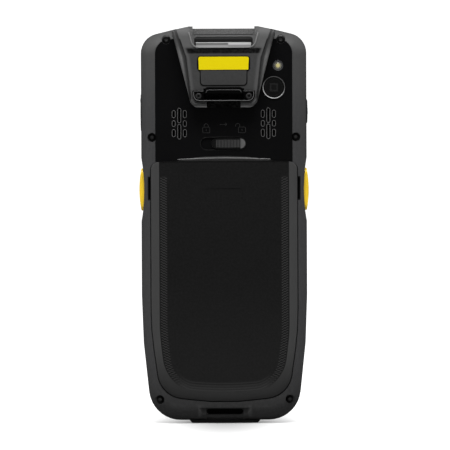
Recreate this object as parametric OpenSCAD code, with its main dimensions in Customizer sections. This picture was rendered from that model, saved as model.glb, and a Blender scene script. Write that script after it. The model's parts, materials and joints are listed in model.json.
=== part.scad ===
// Portable barcode data terminal: a slab handheld with a scanner hood, a battery under a hinged cover,
// side triggers and a keypad. Millimetres. It stands on its tail: +Z runs up its length, the back faces -Y,
// and the origin lies on the face of the foot, in the mid-plane of the housing.

/* [Housing] */
// Width of the housing on each side of the battery
side_w = 8.35; // [8.3:0.05:9]
// Distance between the battery cover and the scanner hood
deck_l = 19.5; // [19.3:0.1:22]
// Depth from the mid-plane to the back plane
back_depth = 9.4; // [9.3:0.1:9.8]
// Depth from the mid-plane to the front face
front_depth = 10; // [9.8:0.1:11]
// Height of the parting plane in front of the mid-plane
parting = 3; // [2.9:0.1:3.2]
// Wall of the side rails
side_wall = 2.6; // [2.4:0.1:2.8]
// Wall that carries the back panel
back_wall = 1.4; // [1.2:0.1:1.5]
// Wall of the front face behind the keys
front_wall = 2.4; // [2.2:0.1:2.6]
// Floor between the battery bay and the main board
bay_floor = 1.2; // [1:0.1:1.4]
// How far the sides draw in at the tail
tail_taper = 4.45; // [4:0.05:4.8]
// Width of the shoulder between the crown and the side
shoulder_w = 14.85; // [14.5:0.05:15.2]
// How far the rounded rails reach in from the sides
rail_round = 6; // [5.5:0.1:6.4]
// Depth at which the rounding of the rails starts
rail_start = 2.4; // [2:0.1:2.8]
// How far the rounded rim of the front reaches in
bezel_round = 3.3; // [2.8:0.1:3.6]
// Depth of the finger scoop round each trigger
scoop_depth = 1.2; // [0.8:0.1:1.4]
// Length of the finger scoop
scoop_l = 26; // [22:0.5:30]

/* [Tail] */
// Width of the foot
foot_w = 26.8; // [24:0.1:30]
// Height of the foot below the tail
foot_h = 1.2; // [0.8:0.1:1.5]
// Width of the strap slot
strap_slot_w = 14.8; // [12:0.1:16]
// Height of the strap slot
strap_slot_h = 2.15; // [1.8:0.05:2.3]

/* [Battery] */
// Width of the battery
battery_w = 51; // [49:0.1:51.5]
// Length of the battery
battery_l = 82; // [78:0.5:83]
// Thickness of the battery
battery_t = 7; // [6.6:0.1:7.1]
// Running gap round the battery
battery_gap = 0.3; // [0.2:0.05:0.4]

/* [Battery cover] */
// Rail left on each side of the cover
cover_margin = 3.75; // [3.5:0.05:4]
// Height of the lower edge of the cover above the foot
cover_z = 8.8; // [8.7:0.1:9.4]
// Distance of the battery above the lower edge of the cover
cover_below = 8.7; // [8.6:0.1:9.2]
// Distance of the upper edge of the cover above the battery bay
cover_above = 9.7; // [9.5:0.1:10.4]
// How far the cover stands proud of the back plane
cover_crown = 0.6; // [0.4:0.1:0.9]
// Width of the rounded band along the edge of the cover
cover_band = 3.6; // [3.2:0.1:4]
// Seam round the cover
seam = 0.15; // [0.1:0.05:0.2]

/* [Back panel] */
// Rail left on each side of the inset back panel
panel_margin = 5.85; // [5.5:0.05:6.2]
// Thickness of the back panel
panel_t = 1; // [0.9:0.05:1.1]
// How far the panel lies below the back plane
panel_sink = 0.1; // [0.05:0.05:0.2]
// Distance of each speaker grille from the centre line
grille_x = 18.2; // [17.5:0.1:19]
// Distance of the grilles above the cover
grille_rise = 13; // [12.8:0.1:13.6]
// Distance between the columns of a grille
grille_pitch = 2.28; // [2.1:0.02:2.4]
// Width of a grille slot
grille_slot = 1.3; // [1.1:0.05:1.5]

/* [Latch] */
// Length of the latch knob
knob_l = 13.9; // [13:0.1:14.2]
// Height of the latch knob
knob_h = 4; // [3.6:0.1:4.4]
// Travel of the latch
latch_travel = 4.3; // [3.8:0.1:4.3]
// Distance of the latch above the cover
latch_rise = 4.8; // [4.6:0.1:5.2]
// Thickness of the latch bolt
bolt_t = 0.8; // [0.6:0.1:0.9]

/* [Scanner hood] */
// Height of the hood above the back plane
hood_rise = 5.6; // [5:0.1:6.4]
// Length of the hood below the top edge of the housing
hood_l = 32; // [31.6:0.1:33]
// Distance of the hood's upper corners from the sides
hood_margin = 12.7; // [12.5:0.1:13.2]
// Width of the hood at its lower edge
hood_low_w = 26.1; // [25.4:0.1:26.8]
// Wall of the hood
hood_wall = 1.6; // [1.4:0.1:1.8]
// Width of the exit window
window_w = 23.8; // [22:0.1:24.4]
// Height of the exit window along its slope
window_h = 8; // [7.4:0.1:8.4]
// Slope of the exit window above the horizontal
window_tilt = 35; // [33:1:37]
// Width of the label
label_w = 21; // [19:0.1:21.4]
// Length of the label
label_l = 11.9; // [11:0.1:12.2]

/* [Camera] */
// Distance of the camera from the centre line
camera_x = 20.5; // [20.3:0.1:21]
// Distance of the camera below the top edge
camera_drop = 23.8; // [23.6:0.1:24.6]
// Outer radius of the camera bezel
camera_r = 4.6; // [4.2:0.05:4.7]
// Distance of the flash from the centre line
flash_x = 22.2; // [21.8:0.1:22.6]
// Distance of the flash below the top edge
flash_drop = 14.9; // [14.5:0.1:15.3]
// Radius of the flash lens
flash_r = 2.1; // [1.8:0.05:2.2]

/* [Side keys] */
// Length of each side trigger
trigger_l = 17.2; // [15:0.1:18]
// Width of each side trigger across the rail
trigger_w = 6.2; // [5.6:0.1:6.4]
// How far a trigger stands out from its scoop
trigger_out = 2; // [1.6:0.1:2.4]
// Travel of a trigger
trigger_travel = 0.8; // [0.6:0.05:0.9]
// Distance of the middle of the triggers below the upper edge of the cover
trigger_drop = 14.1; // [13.6:0.1:14.8]
// Length of the volume key
volume_l = 14.9; // [12:0.1:16]
// Length of the power key
power_l = 9.7; // [8:0.1:11]
// Width of the side keys across the rail
side_key_w = 3.4; // [3:0.1:3.8]
// Travel of the side keys
side_key_travel = 0.25; // [0.2:0.05:0.3]

/* [Front] */
// Width of the bezel beside the cover glass
bezel_w = 5.05; // [4.7:0.05:5.4]
// Width of the bezel above the cover glass
bezel_top = 5.5; // [5.2:0.1:6.5]
// Thickness of the cover glass
glass_t = 1.3; // [1.1:0.05:1.4]
// Height of the lower edge of the glass above the foot
glass_z = 57.8; // [57.4:0.1:58.4]
// Width of the black border of the glass beside the display
border_w = 2.1; // [2:0.1:2.8]
// Width of the border below the display
border_low = 2.7; // [2.4:0.1:3.2]
// Width of the border above the display, which holds the earpiece
border_top = 8.3; // [8:0.1:10]
// Thickness of the display module
display_t = 3.2; // [3:0.1:3.4]
// Width of a number key
key_w = 14.4; // [13:0.1:15]
// Height of a number key
key_h = 6.4; // [6:0.1:6.6]
// Distance between key columns
key_pitch_x = 17.6; // [17:0.1:18]
// Distance between key rows
key_pitch_z = 8.4; // [8.2:0.1:8.5]
// Height of the lowest key row above the foot
key_z = 16; // [15.8:0.1:16.4]
// How far the keys stand out of the front face
key_out = 0.5; // [0.3:0.1:0.8]
// Travel of the keys
key_travel = 0.55; // [0.4:0.05:0.6]
// Width of the scan key
scan_key_w = 17; // [16:0.1:17.6]
// Height of the scan key
scan_key_h = 8.6; // [8:0.1:8.8]
// Thickness of the main board
board_t = 1; // [0.8:0.1:1.2]

/* [Hidden] */
$fn = 48;

// Colours
rail_grey = "dimgray";
shell_black = [0.1, 0.1, 0.11];
signal_yellow = [0.96, 0.72, 0.1];
steel = "silver";

// Clearances: running gap of moving pieces, gap of a seat, and how far a cut runs past a face
run = 0.15;
seat = 0.05;
past = 1;

// The casing is as large as the battery, its cover, the deck and the hood ask
bay_z = cover_z + cover_below;
bay_w = battery_w + 2 * battery_gap;
bay_l = battery_l + 2 * battery_gap;
bay_r = 2.5;
cover_top = bay_z + bay_l + cover_above;
hood_z = cover_top + deck_l;
body_h = hood_z + hood_l;
body_w = battery_w + 2 * side_w;

// Outline of the housing
half_w = body_w / 2;
tail_w = body_w - 2 * tail_taper;
tail_r = 13;
side_rise = 31.7;
side_r = 280;
shoulder_drop = 3.64;
shoulder_r = 8;
crown_w = body_w - 2 * shoulder_w;
crown_r = 12;

// Places of what lies in the back and the sides
cover_w = body_w - 2 * cover_margin;
panel_w = body_w - 2 * panel_margin;
hood_top_w = body_w - 2 * hood_margin;
grille_z = cover_top + grille_rise;
latch_z = cover_top + latch_rise;
camera_z = body_h - camera_drop;
flash_z = body_h - flash_drop;
trigger_z = cover_top - trigger_drop;

// Planes across the depth, counted along Y
back_y = -back_depth;
cover_back_y = back_y - cover_crown;
panel_y = back_y + panel_sink;
panel_seat_y = panel_y + panel_t;
cavity_y = panel_seat_y + back_wall;
cover_seat_y = back_y + 1.5;
cover_under_y = cover_seat_y - 0.1;
cover_edge_y = back_y + 0.45;
floor_y = 0;
board_y = floor_y + 1.2;
keys_under_y = front_depth - front_wall;
glass_y = front_depth - 0.2 - glass_t;

// Screws that hold the two housings together: [x, z] on the right side
screw_places = [[half_w - 10.45, body_h - 4.2], [half_w - 4.45, cover_top + 7.4], [half_w - 7.25, 9.9]];
screw_head_r = 1.65;
screw_head_t = 1.4;
screw_r = 0.9;
screw_seat_y = back_y + 3.2;
screw_tip_y = keys_under_y - 1.2;
boss_r = 1.9;

// Battery and the line about which the cover lifts
battery_y = floor_y - bay_floor - 0.1 - battery_t;
hinge_y = back_y;
hinge_z = cover_z;

// ---------- Outlines and helpers ----------

least_r = 0.25;
function unit(v) = v / norm(v);
function flat(p) = [p.x, p.y];

// A corner is [x, z, radius, before, after]: the shares of an outline's inset that the edges before
// and after it take. They are 1 unless they are given, and one share counts for both edges.
function share_before(corner) = len(corner) > 3 ? corner[3] : 1;
function share_after(corner) = len(corner) > 4 ? corner[4] : share_before(corner);

// Left-hand normal of the edge from a to b
function left_of(a, b) = let (along = unit(flat(b) - flat(a))) [-along.y, along.x];

// Corner b moved in by d from the edge before it and by e from the edge after it
function mitre(a, b, c, d, e) =
    let (before = left_of(a, b), after = left_of(b, c), lean = before * after)
    flat(b) + (before * (d - e * lean) + after * (e - d * lean)) / (1 - lean * lean);

// Points of the arc that rounds corner b between its neighbours; one point at radius 0
function corner_arc(a, b, c, d, e) = b.z == 0 ? [mitre(a, b, c, d, e)] :
    let (
        to_a = unit(flat(a) - flat(b)),
        to_c = unit(flat(c) - flat(b)),
        inward = unit(to_a + to_c),
        half = acos(to_a * to_c) / 2,
        turn = sign(cross(-to_a, to_c)),
        r = max(b.z - turn * max(d, e), least_r),
        centre = mitre(a, b, c, d, e) + inward * r / sin(half),
        sweep = 180 - 2 * half,
        steps = ceil(sweep / 11) + 1,
        start = atan2(-inward.y, -inward.x) - turn * sweep / 2
    )
    [for (i = [0:steps]) let (angle = start + turn * sweep * i / steps)
        centre + r * [cos(angle), sin(angle)]];

// Closed outline through rounded corners, listed anticlockwise, drawn in by d
function rounded(corners, d = 0) =
    let (n = len(corners))
    [for (i = [0:n - 1]) let (corner = corners[i])
        each corner_arc(corners[(i + n - 1) % n], corner, corners[(i + 1) % n],
            d * share_before(corner), d * share_after(corner))];

// Corners of the right half, then the same mirrored; a corner on the centre line isn't repeated
function both_sides(right) =
    concat(right, [for (i = [len(right) - 1:-1:0]) let (c = right[i])
        if (c.x > 0) [-c.x, c.y, c.z, share_after(c), share_before(c)]]);

body_corners = both_sides([
    [tail_w / 2, foot_h, tail_r],
    [half_w, foot_h + side_rise, side_r],
    [half_w, body_h - shoulder_drop, shoulder_r],
    [crown_w / 2, body_h, crown_r]
]);

// The cover: a shallow arc below, straight sides and a finger lip that swells upwards in the middle.
// Its rounded band runs along the sides and the lower edge, and is cut off at the square upper edge.
cover_corners = both_sides([
    [0, cover_z - 1.25, 115],
    [cover_w / 2 - 3.8, cover_z + 2.7, 11],
    [cover_w / 2, cover_z + 29.2, 120],
    [cover_w / 2, cover_top - 2.9, 3.2, 1, 0],
    [19.2, cover_top - 2.2, 6, 0],
    [0, cover_top + 2.1, 85, 0]
]);

// Outline of the raised hood
hood_top_z = body_h + 1.1;
hood_corners = both_sides([
    [hood_low_w / 2, hood_z, 4, 1, 0.75],
    [hood_top_w / 2, body_h - 0.4, 1, 1.5, 0.3],
    [14.2, hood_top_z, 1.2, 0.4]
]);

// Solid between outlines of one set of corners: rings = [[y, inset], ...] from front to back
module loft(corners, rings) {
    n = len(rounded(corners));
    last = (len(rings) - 1) * n;
    points = [for (ring = rings) each [for (p = rounded(corners, ring[1])) [p.x, ring[0], p.y]]];
    sides = [for (k = [0:len(rings) - 2], i = [0:n - 1])
        let (j = (i + 1) % n) [k * n + i, (k + 1) * n + i, (k + 1) * n + j, k * n + j]];
    polyhedron(points, concat([[for (i = [0:n - 1]) i]], sides, [[for (i = [n - 1:-1:0]) last + i]]));
}

// Extrusion of an X-Z outline from y0 to y1
module along_y(y0, y1) {
    translate([0, y1, 0]) rotate([90, 0, 0]) linear_extrude(y1 - y0) children();
}

// Extrusion of a Y-Z outline from x0 to x1
module along_x(x0, x1) {
    translate([x0, 0, 0]) rotate([90, 0, 90]) linear_extrude(x1 - x0) children();
}

// Block between two corners
module block(low, high) {
    translate(low) cube(high - low);
}

// Cylinder along Y at [x, z]
module pin_y(at, r, y0, y1) {
    translate([at.x, y1, at.y]) rotate([90, 0, 0]) cylinder(r = r, h = y1 - y0);
}

module rounded_rect(w, h, r) {
    square([w, h - 2 * r], center = true);
    square([w - 2 * r, h], center = true);
    for (x = [-1, 1], z = [-1, 1]) translate([x * (w / 2 - r), z * (h / 2 - r)]) circle(r);
}

// Slot with round ends, w wide and h high
module stadium(w, h) {
    long = max(w, h);
    short = min(w, h);
    rotate(w > h ? 0 : 90) {
        square([long - short, short], center = true);
        for (side = [-1, 1]) translate([side * (long - short) / 2, 0]) circle(short / 2);
    }
}

module sides() {
    children();
    mirror([1, 0, 0]) children();
}

module body_outline(inset) {
    polygon(rounded(body_corners, inset));
}

module cover_outline(inset) {
    polygon(rounded(cover_corners, inset));
}

module hood_outline(inset) {
    polygon(rounded([for (corner = hood_corners) [corner.x, corner.y, corner.z]], inset));
}

// The same with sharp corners, for the hollow inside the hood's walls
module hood_hollow() {
    polygon(rounded([for (corner = hood_corners) [corner.x, corner.y, 0]], hood_wall));
}

// ---------- Housings ----------

rear_rings = concat(
    [[parting, 0], [-rail_start, 0]],
    [for (a = [15:15:90]) [-rail_start - (back_depth - rail_start) * sin(a), rail_round * (1 - cos(a))]]
);
bezel_start = front_depth - 4.5;
front_rings = concat(
    [for (a = [90:-15:15])
        [bezel_start + (front_depth - bezel_start) * sin(a), bezel_round * (1 - cos(a))]],
    [[bezel_start, 0], [parting, 0]]
);

// Foot under the tail, between two depths
foot_back_y = -3.6;
foot_front_y = 6.6;
// Finger scoops in both rails
scoop_r = (pow(scoop_l / 2, 2) + pow(scoop_depth, 2)) / (2 * scoop_depth);
module scoops() {
    sides() pin_y([half_w - scoop_depth + scoop_r, trigger_z], scoop_r, back_y - past, front_depth + past);
}

module screw_bosses(r, y0, y1) {
    sides() for (at = screw_places) pin_y(at, r, y0, y1);
}

// Strap slot: in through the back, out through the underside of the tail, round a bar
strap_slot_z = 3.85;
strap_back_y = -6.2;
strap_front_y = -4.2;
module strap_way() {
    half = strap_slot_w / 2;
    top = strap_slot_z + strap_slot_h;
    along_y(back_y - past, strap_front_y)
        translate([0, (strap_slot_z + top) / 2])
            rounded_rect(strap_slot_w, strap_slot_h, 0.45 * strap_slot_h);
    block([-half, strap_back_y, -past], [half, strap_front_y, top]);
    recess_y = back_y + 1.3;
    linear_extrude(top + 0.5)
        polygon([[-11, back_y - 0.1], [-9.2, recess_y], [9.2, recess_y], [11, back_y - 0.1]]);
}

// Outline of the panel's recess: its lower end lies below the upper edge of the cover
panel_top_z = body_h - 4;
panel_low_z = cover_top - 9;
module panel_recess(gap) {
    translate([0, (panel_top_z + panel_low_z) / 2])
        rounded_rect(panel_w + 2 * gap, panel_top_z - panel_low_z + 2 * gap, 6);
}

// Hooks below the cover that sit behind the tail
hook_x = 12;
hook_w = 5;
hook_reach = 1.3;
hook_skin = 1;
hook_back_y = back_y + hook_skin + 0.4;
hook_front_y = hook_back_y + 0.8;
hook_foot = 1.2;
hook_l = 3.2;
hook_sweep = norm([hook_front_y - hinge_y, hook_reach]) + 0.2;

// Keeper on the cover and the way of the latch bolt, with a slip of air between the two
latch_slip = 0.2;
keeper_z = cover_top - 4.8;
keeper_l = 2.8;
keeper_stem_x = -2.4;
keeper_stem_w = 1.8;
keeper_toe_x = 3.4;
toe_t = 0.9;
bolt_y = cavity_y + 0.1;
toe_y = bolt_y + bolt_t + latch_slip;
keeper_front_y = toe_y + toe_t;
latch_room_y = keeper_front_y + 0.6;
tongue_x = keeper_toe_x + 1.2;
tongue_w = 3;

module latch_room() {
    block([keeper_stem_x - 0.6, cover_seat_y - past, keeper_z - 0.6],
        [keeper_toe_x + 0.6, latch_room_y, keeper_z + keeper_l + 0.8]);
    block([keeper_stem_x - 1.2, cavity_y, keeper_z - 0.8],
        [tongue_x + tongue_w + 0.6, latch_room_y, cavity_z + past]);
}

// Rooms inside the casing
cavity_z = cover_top + 2.4;
cavity_low_z = 9;
module rear_rooms() {
    intersection() {
        along_y(cavity_y, parting + past) body_outline(side_wall);
        union() {
            block([-half_w, floor_y, cavity_low_z], [half_w, parting + past, cavity_z]);
            block([-half_w, cavity_y, cavity_z], [half_w, parting + past, body_h]);
            sides() block([trigger_room_x, -trigger_w, trigger_z - trigger_l / 2 - 1.4],
                [half_w, parting + past, trigger_z + trigger_l / 2 + 1.4]);
        }
    }
}

module battery_bay() {
    along_y(cover_seat_y - past, floor_y - bay_floor)
        translate([0, bay_z + bay_l / 2]) rounded_rect(bay_w, bay_l, bay_r);
}

// Key and trigger windows in the rails, with their middle at depth side_y
side_y = -2;
side_key_y = -1.4;
volume_z = cover_top + 17.35;
power_z = cover_top + 17.65;
trigger_room_x = bay_w / 2 + 1.4;
module rail_windows() {
    sides() translate([0, side_y, trigger_z]) rail_window(trigger_w, trigger_l, 2.4);
    mirror([1, 0, 0]) translate([0, side_key_y, volume_z]) rail_window(side_key_w, volume_l, 1.2);
    translate([0, side_key_y, power_z]) rail_window(side_key_w, power_l, 1.2);
}

module rail_window(w, l, r) {
    along_x(half_w - side_wall - past, half_w + past) rounded_rect(w + 2 * run, l + 2 * run, r + run);
}

// Room for the flange of a push key behind the rail, over its travel
module flange_room(w, l, travel) {
    reach = flange_grow + 2 * run;
    translate([wall_in_x - flange_t - travel - 2 * run, 0, 0])
        block([0, -w / 2 - reach, -l / 2 - reach],
            [flange_t + travel + 2 * run, w / 2 + reach, l / 2 + reach]);
}

module flange_rooms() {
    mirror([1, 0, 0]) translate([0, side_key_y, volume_z]) flange_room(side_key_w, volume_l, side_key_travel);
    translate([0, side_key_y, power_z]) flange_room(side_key_w, power_l, side_key_travel);
}

// Windows in the wall behind the panel
speaker_w = 9;
speaker_l = 14;
module back_windows() {
    sides() along_y(back_y, cavity_y + past)
        translate([grille_x, grille_z]) rounded_rect(speaker_w + 2 * seat, speaker_l + 2 * seat, 2);
    pin_y([camera_x, camera_z], camera_snout_r + seat, back_y, cavity_y + past);
    pin_y([flash_x, flash_z], flash_r + seat, back_y, cavity_y + past);
    along_y(back_y, cavity_y + past) latch_slot();
}

finger_slot_z = trigger_z + 0.6;
module finger_slots() {
    sides() along_y(back_y - past, back_y + 2.2)
        translate([cover_w / 2 + 0.35, finger_slot_z]) stadium(0.9, 9);
}

module screw_ways() {
    sides() for (at = screw_places) {
        pin_y(at, screw_head_r + 0.2, back_y - past, screw_seat_y);
        pin_y(at, screw_r + seat, screw_seat_y - past, parting + past);
    }
}

gasket_inset = scoop_depth + 0.4;
gasket_w = 0.6;
gasket_t = 0.6;
module gasket_ring() {
    difference() {
        body_outline(gasket_inset);
        body_outline(gasket_inset + gasket_w);
    }
}

// Groove and ring of the seal between the bay and the cover
seal_gap = 1;
seal_w = 0.8;
seal_t = 0.7;
module seal_ring() {
    difference() {
        rounded_rect(bay_w + 2 * (seal_gap + seal_w), bay_l + 2 * (seal_gap + seal_w),
            bay_r + seal_gap + seal_w);
        rounded_rect(bay_w + 2 * seal_gap, bay_l + 2 * seal_gap, bay_r + seal_gap);
    }
}

board_screw_places = [[20, 50], [half_w - 6.6, body_h - 10.3]];
board_screw_r = 0.75;

dock_w = 16;
dock_d = 4;
dock_h = 5;

module dock_socket() {
    block([-dock_w / 2 - seat, -dock_d / 2 - seat, -past], [dock_w / 2 + seat, dock_d / 2 + seat, dock_h]);
}

module rear_housing() {
    color(rail_grey) difference() {
        union() {
            difference() {
                loft(body_corners, rear_rings);
                rear_rooms();
            }
            intersection() {
                screw_bosses(boss_r + 0.5, cavity_y - 0.5, parting);
                along_y(cavity_y - 0.5, parting) body_outline(side_wall - 0.3);
            }
            sides() pin_y(board_screw_places[0], 2.1, floor_y - 0.5, board_y);
            sides() pin_y(board_screw_places[1], 2.1, cavity_y - 0.5, board_y);
        }
        scoops();
        battery_bay();
        along_y(cover_back_y - past, cover_seat_y) cover_outline(-seam);
        along_y(back_y - past, panel_seat_y) panel_recess(seat);
        along_y(back_y - past, hood_seat_y) hood_outline(-0.1);
        back_windows();
        latch_room();
        sides() block([hook_x - hook_w / 2 - 0.2, back_y + hook_skin, hinge_z - hook_reach - 0.2],
            [hook_x + hook_w / 2 + 0.2, hinge_y + hook_sweep, hinge_z + hook_l + 0.7]);
        rail_windows();
        flange_rooms();
        finger_slots();
        screw_ways();
        sides() for (at = board_screw_places) pin_y(at, board_screw_r + seat, floor_y - 0.9, board_y + past);
        strap_way();
        along_y(parting - gasket_t, parting + past) gasket_ring();
        along_y(cover_seat_y - past, cover_seat_y + seal_t - 0.1)
            translate([0, bay_z + bay_l / 2]) seal_ring();
        dock_socket();
        contact_block(seat);
        card_window();
    }
}

// Flat shoe under the tail, on which the terminal stands, round the dock connector
module tail_shoe() {
    flare = 1.1;
    color(rail_grey) difference() {
        along_y(foot_back_y, foot_front_y) polygon([
            [-foot_w / 2, 0], [foot_w / 2, 0], [foot_w / 2 + flare, foot_h], [-foot_w / 2 - flare, foot_h]
        ]);
        dock_socket();
    }
}

module back_panel() {
    color(shell_black) difference() {
        along_y(panel_y, panel_seat_y) difference() {
            panel_recess(0);
            cover_outline(-seam);
        }
        along_y(panel_y - past, panel_seat_y + past) hood_outline(-0.1);
        sides() along_y(panel_y - past, panel_seat_y + past) translate([grille_x, grille_z]) grille_slots();
        sides() for (at = screw_places) pin_y(at, screw_head_r + 0.2, panel_y - past, panel_seat_y + past);
        pin_y([camera_x, camera_z], camera_r - 0.4 + seat, panel_y - past, panel_seat_y + past);
        pin_y([flash_x, flash_z], flash_r + seat, panel_y - past, panel_seat_y + past);
        along_y(panel_y - past, panel_y + latch_sink)
            translate([(latch_left + latch_right) / 2, latch_z])
                stadium(latch_right - latch_left, knob_h + 1.2);
        along_y(panel_y - past, panel_seat_y + past) latch_slot();
    }
}

// Middle column of two long slots, with three short ones on each side
module grille_slots() {
    for (z = [-3.3, 3.3]) translate([0, z]) stadium(grille_slot, 6);
    for (x = [-grille_pitch, grille_pitch]) {
        for (z = [-3.9, 3.9]) translate([x, z]) stadium(grille_slot, 3);
        translate([x, 0]) stadium(grille_slot, 2.4);
    }
}

// ---------- Scanner hood ----------

hood_y = back_y - hood_rise;
hood_seat_y = -3.5;
hood_rings = [
    [hood_seat_y, 0], [back_y - 1, 0], [hood_y + 1.6, 0.35], [hood_y + 0.6, 0.9],
    [hood_y + 0.15, 1.6], [hood_y, 2.4]
];
window_y = hood_y + 0.5;
window_z = body_h - 7.7;
field_y = hood_y + 0.9;
field_top_z = window_z - 2.6;
field_low_z = hood_z + 2;
field_low_half = 12.6;
field_slope = 1.1;
field_top_half = 14.8;
hood_skin = 3;
channel_half = 12.6;
window_sink = 0.4;
window_t = 1.2;

// Frame of the sloping window: its lower edge is the local X axis, +Y runs up the slope, +Z points out
module on_window() {
    translate([0, window_y, window_z]) rotate([window_tilt, 0, 0]) children();
}

// The slope of the window, cut down between the two horns of the crown
module window_channel() {
    on_window() {
        linear_extrude(14)
            translate([0, 10 - 0.2]) rounded_rect(2 * channel_half, 20, 1.6);
        translate([0, window_h / 2 + 0.2, -window_sink - window_t])
            linear_extrude(window_t + past) rounded_rect(window_w + 2 * seat, window_h + 2 * seat, 1.2);
        translate([0, window_h / 2 + 0.2, -hood_skin - past])
            linear_extrude(hood_skin + past) rounded_rect(window_w - 2, window_h - 2, 1);
    }
}

// Side profile of the hood, with its rounded crown
module hood_profile() {
    polygon(rounded([
        [hood_y, hood_z - 2, 1.5],
        [panel_seat_y, hood_z - 3.4, 0.5],
        [cavity_y - 0.1, hood_z - 2, 0.2],
        [cavity_y - 0.1, body_h - 4.4, 0.2],
        [hood_seat_y, body_h - 4.4, 0.2],
        [hood_seat_y, hood_top_z + 1, 0.5],
        [hood_y + 1.2, hood_top_z + 1, 5.5]
    ]));
}

// Sunken field for the label, open at its foot, with an undercut below the lip of the window
module hood_field() {
    intersection() {
        along_x(-half_w, half_w) polygon([
            [hood_y - past, hood_z - past], [field_y, hood_z - past], [field_y, field_top_z],
            [hood_y - 0.1, window_z - 0.5], [hood_y - past, window_z - 0.5]
        ]);
        loft(both_sides([
            [field_low_half, field_low_z, 2.5],
            [field_top_half + 0.6, window_z, 1]
        ]), [[field_y + 1, 0], [field_y, 0], [hood_y - past, -field_slope]]);
    }
    block([-6.9, hood_y - past, hood_z - past], [6.9, panel_y, field_low_z + 0.6]);
}

// Room behind the strap bracket
bracket_z = field_low_z + 0.6;
strap_room_half = 8.3;
module strap_room() {
    block([-strap_room_half, hood_y, bracket_z + 0.4], [strap_room_half, field_y + 3.5, bracket_z + 5.4]);
}

bracket_screw_x = 10.3;
bracket_screw_l = 3.6;
bracket_screw_z = bracket_z + 2.3;
module scanner_housing() {
    color(rail_grey) difference() {
        intersection() {
            loft(hood_corners, hood_rings);
            along_x(-half_w, half_w) hood_profile();
        }
        difference() {
            along_y(field_y + hood_wall, hood_seat_y + past) hood_hollow();
            block([-half_w, hood_y, 0], [half_w, 0, bracket_z + 7]);
            on_window() translate([-half_w, -20, -hood_skin]) cube([body_w, 60, 30]);
        }
        hood_field();
        strap_room();
        window_channel();
        sides() pin_y([bracket_screw_x, bracket_screw_z], 0.7 + seat, hood_y - past, field_y + 4);
    }
}

module scanner_window() {
    color([0.12, 0.02, 0.03]) on_window() translate([0, window_h / 2 + 0.2, -window_sink - window_t])
        linear_extrude(window_t) rounded_rect(window_w, window_h, 1.2);
}

engine_w = 21;
engine_h = 7.2;
engine_d = 9;
engine_ear = 1.7;
engine_lens_x = 5.5;
engine_lens_r = 2.4;
module scan_engine() {
    color([0.2, 0.2, 0.22]) on_window() translate([0, window_h / 2 + 0.2, -hood_skin]) difference() {
        union() {
            block([-engine_w / 2, -engine_h / 2, -engine_d], [engine_w / 2, engine_h / 2, 0]);
            block([-engine_w / 2 - engine_ear, -engine_h / 6, -0.7 * engine_d],
                [engine_w / 2 + engine_ear, engine_h / 6, -0.5 * engine_d]);
        }
        sides() translate([engine_lens_x, 0, -engine_lens_r])
            cylinder(r = engine_lens_r, h = engine_lens_r + past);
    }
}

label_z = hood_z + 9;
label_cap_l = 6;
label_step = 0.8;
module label_plate() {
    color(signal_yellow) along_y(field_y - 0.15, field_y) {
        translate([0, label_z + label_l - label_cap_l / 2]) rounded_rect(label_w, label_cap_l, 0.9);
        translate([0, label_z + label_l / 2 - 0.5]) rounded_rect(label_w - 2 * label_step, label_l - 1, 1.6);
    }
}

// Bar over the strap room, with a raised tab and an ear for a screw on each side
module strap_bracket() {
    color(shell_black) difference() {
        union() {
            along_y(field_y - 1, field_y) polygon(rounded(both_sides([
                [12.4, bracket_z, 2.4],
                [12.9, bracket_z + 4.6, 0.6]
            ])));
            along_y(field_y - 1.5, field_y) translate([0, bracket_z + 4.45]) rounded_rect(15.1, 2.9, 0.8);
        }
        along_y(field_y - 2, field_y + past)
            translate([0, bracket_z + 2.1]) rounded_rect(2 * strap_room_half, 2.4, 0.4);
        sides() pin_y([bracket_screw_x, bracket_screw_z], 1.5, field_y - 2, field_y - 0.4);
        sides() pin_y([bracket_screw_x, bracket_screw_z], 0.7 + seat, field_y - 2, field_y + past);
    }
}

module strap_bracket_screws() {
    color(steel) sides() {
        pin_y([bracket_screw_x, bracket_screw_z], 1.35, field_y - 0.95, field_y - 0.4);
        pin_y([bracket_screw_x, bracket_screw_z], 0.7, field_y - 0.5, field_y + bracket_screw_l);
    }
}

module housing_screws() {
    color(steel) sides() for (at = screw_places) {
        pin_y(at, screw_head_r, screw_seat_y - screw_head_t, screw_seat_y);
        pin_y(at, screw_r, screw_seat_y - 0.1, screw_tip_y);
    }
}

// ---------- Camera, flash and sound ----------

camera_snout_r = 3.4;
module camera_bezel() {
    color(steel) difference() {
        union() {
            pin_y([camera_x, camera_z], camera_r, panel_y - 0.5, panel_y);
            pin_y([camera_x, camera_z], camera_r - 0.4, panel_y - 0.1, panel_seat_y);
        }
        pin_y([camera_x, camera_z], camera_r - 0.5, panel_y - past, panel_y + 0.3);
        pin_y([camera_x, camera_z], camera_snout_r - 0.4, panel_y - past, panel_seat_y + past);
    }
}

module camera_lens() {
    color([0.05, 0.05, 0.08])
        pin_y([camera_x, camera_z], camera_r - 0.5 - seat, panel_y - 0.3, panel_y + 0.3);
}

module camera_module() {
    color([0.1, 0.1, 0.12]) {
        pin_y([camera_x, camera_z], camera_snout_r, panel_seat_y, cavity_y + 0.1);
        translate([camera_x, 0, camera_z]) block([-4.3, cavity_y + 0.1, -4.3], [4.3, cavity_y + 4.2, 4.3]);
    }
}

module flash_lens() {
    color("lightyellow") {
        pin_y([flash_x, flash_z], flash_r, panel_y - 0.2, cavity_y);
        translate([flash_x, 0, flash_z]) block([-1.5, cavity_y, -1.5], [1.5, cavity_y + 0.8, 1.5]);
    }
}

mesh_t = 0.3;
module speaker_mesh() {
    color("black") sides() along_y(panel_seat_y, panel_seat_y + mesh_t)
        translate([grille_x, grille_z]) rounded_rect(speaker_w, speaker_l, 2);
}

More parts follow.
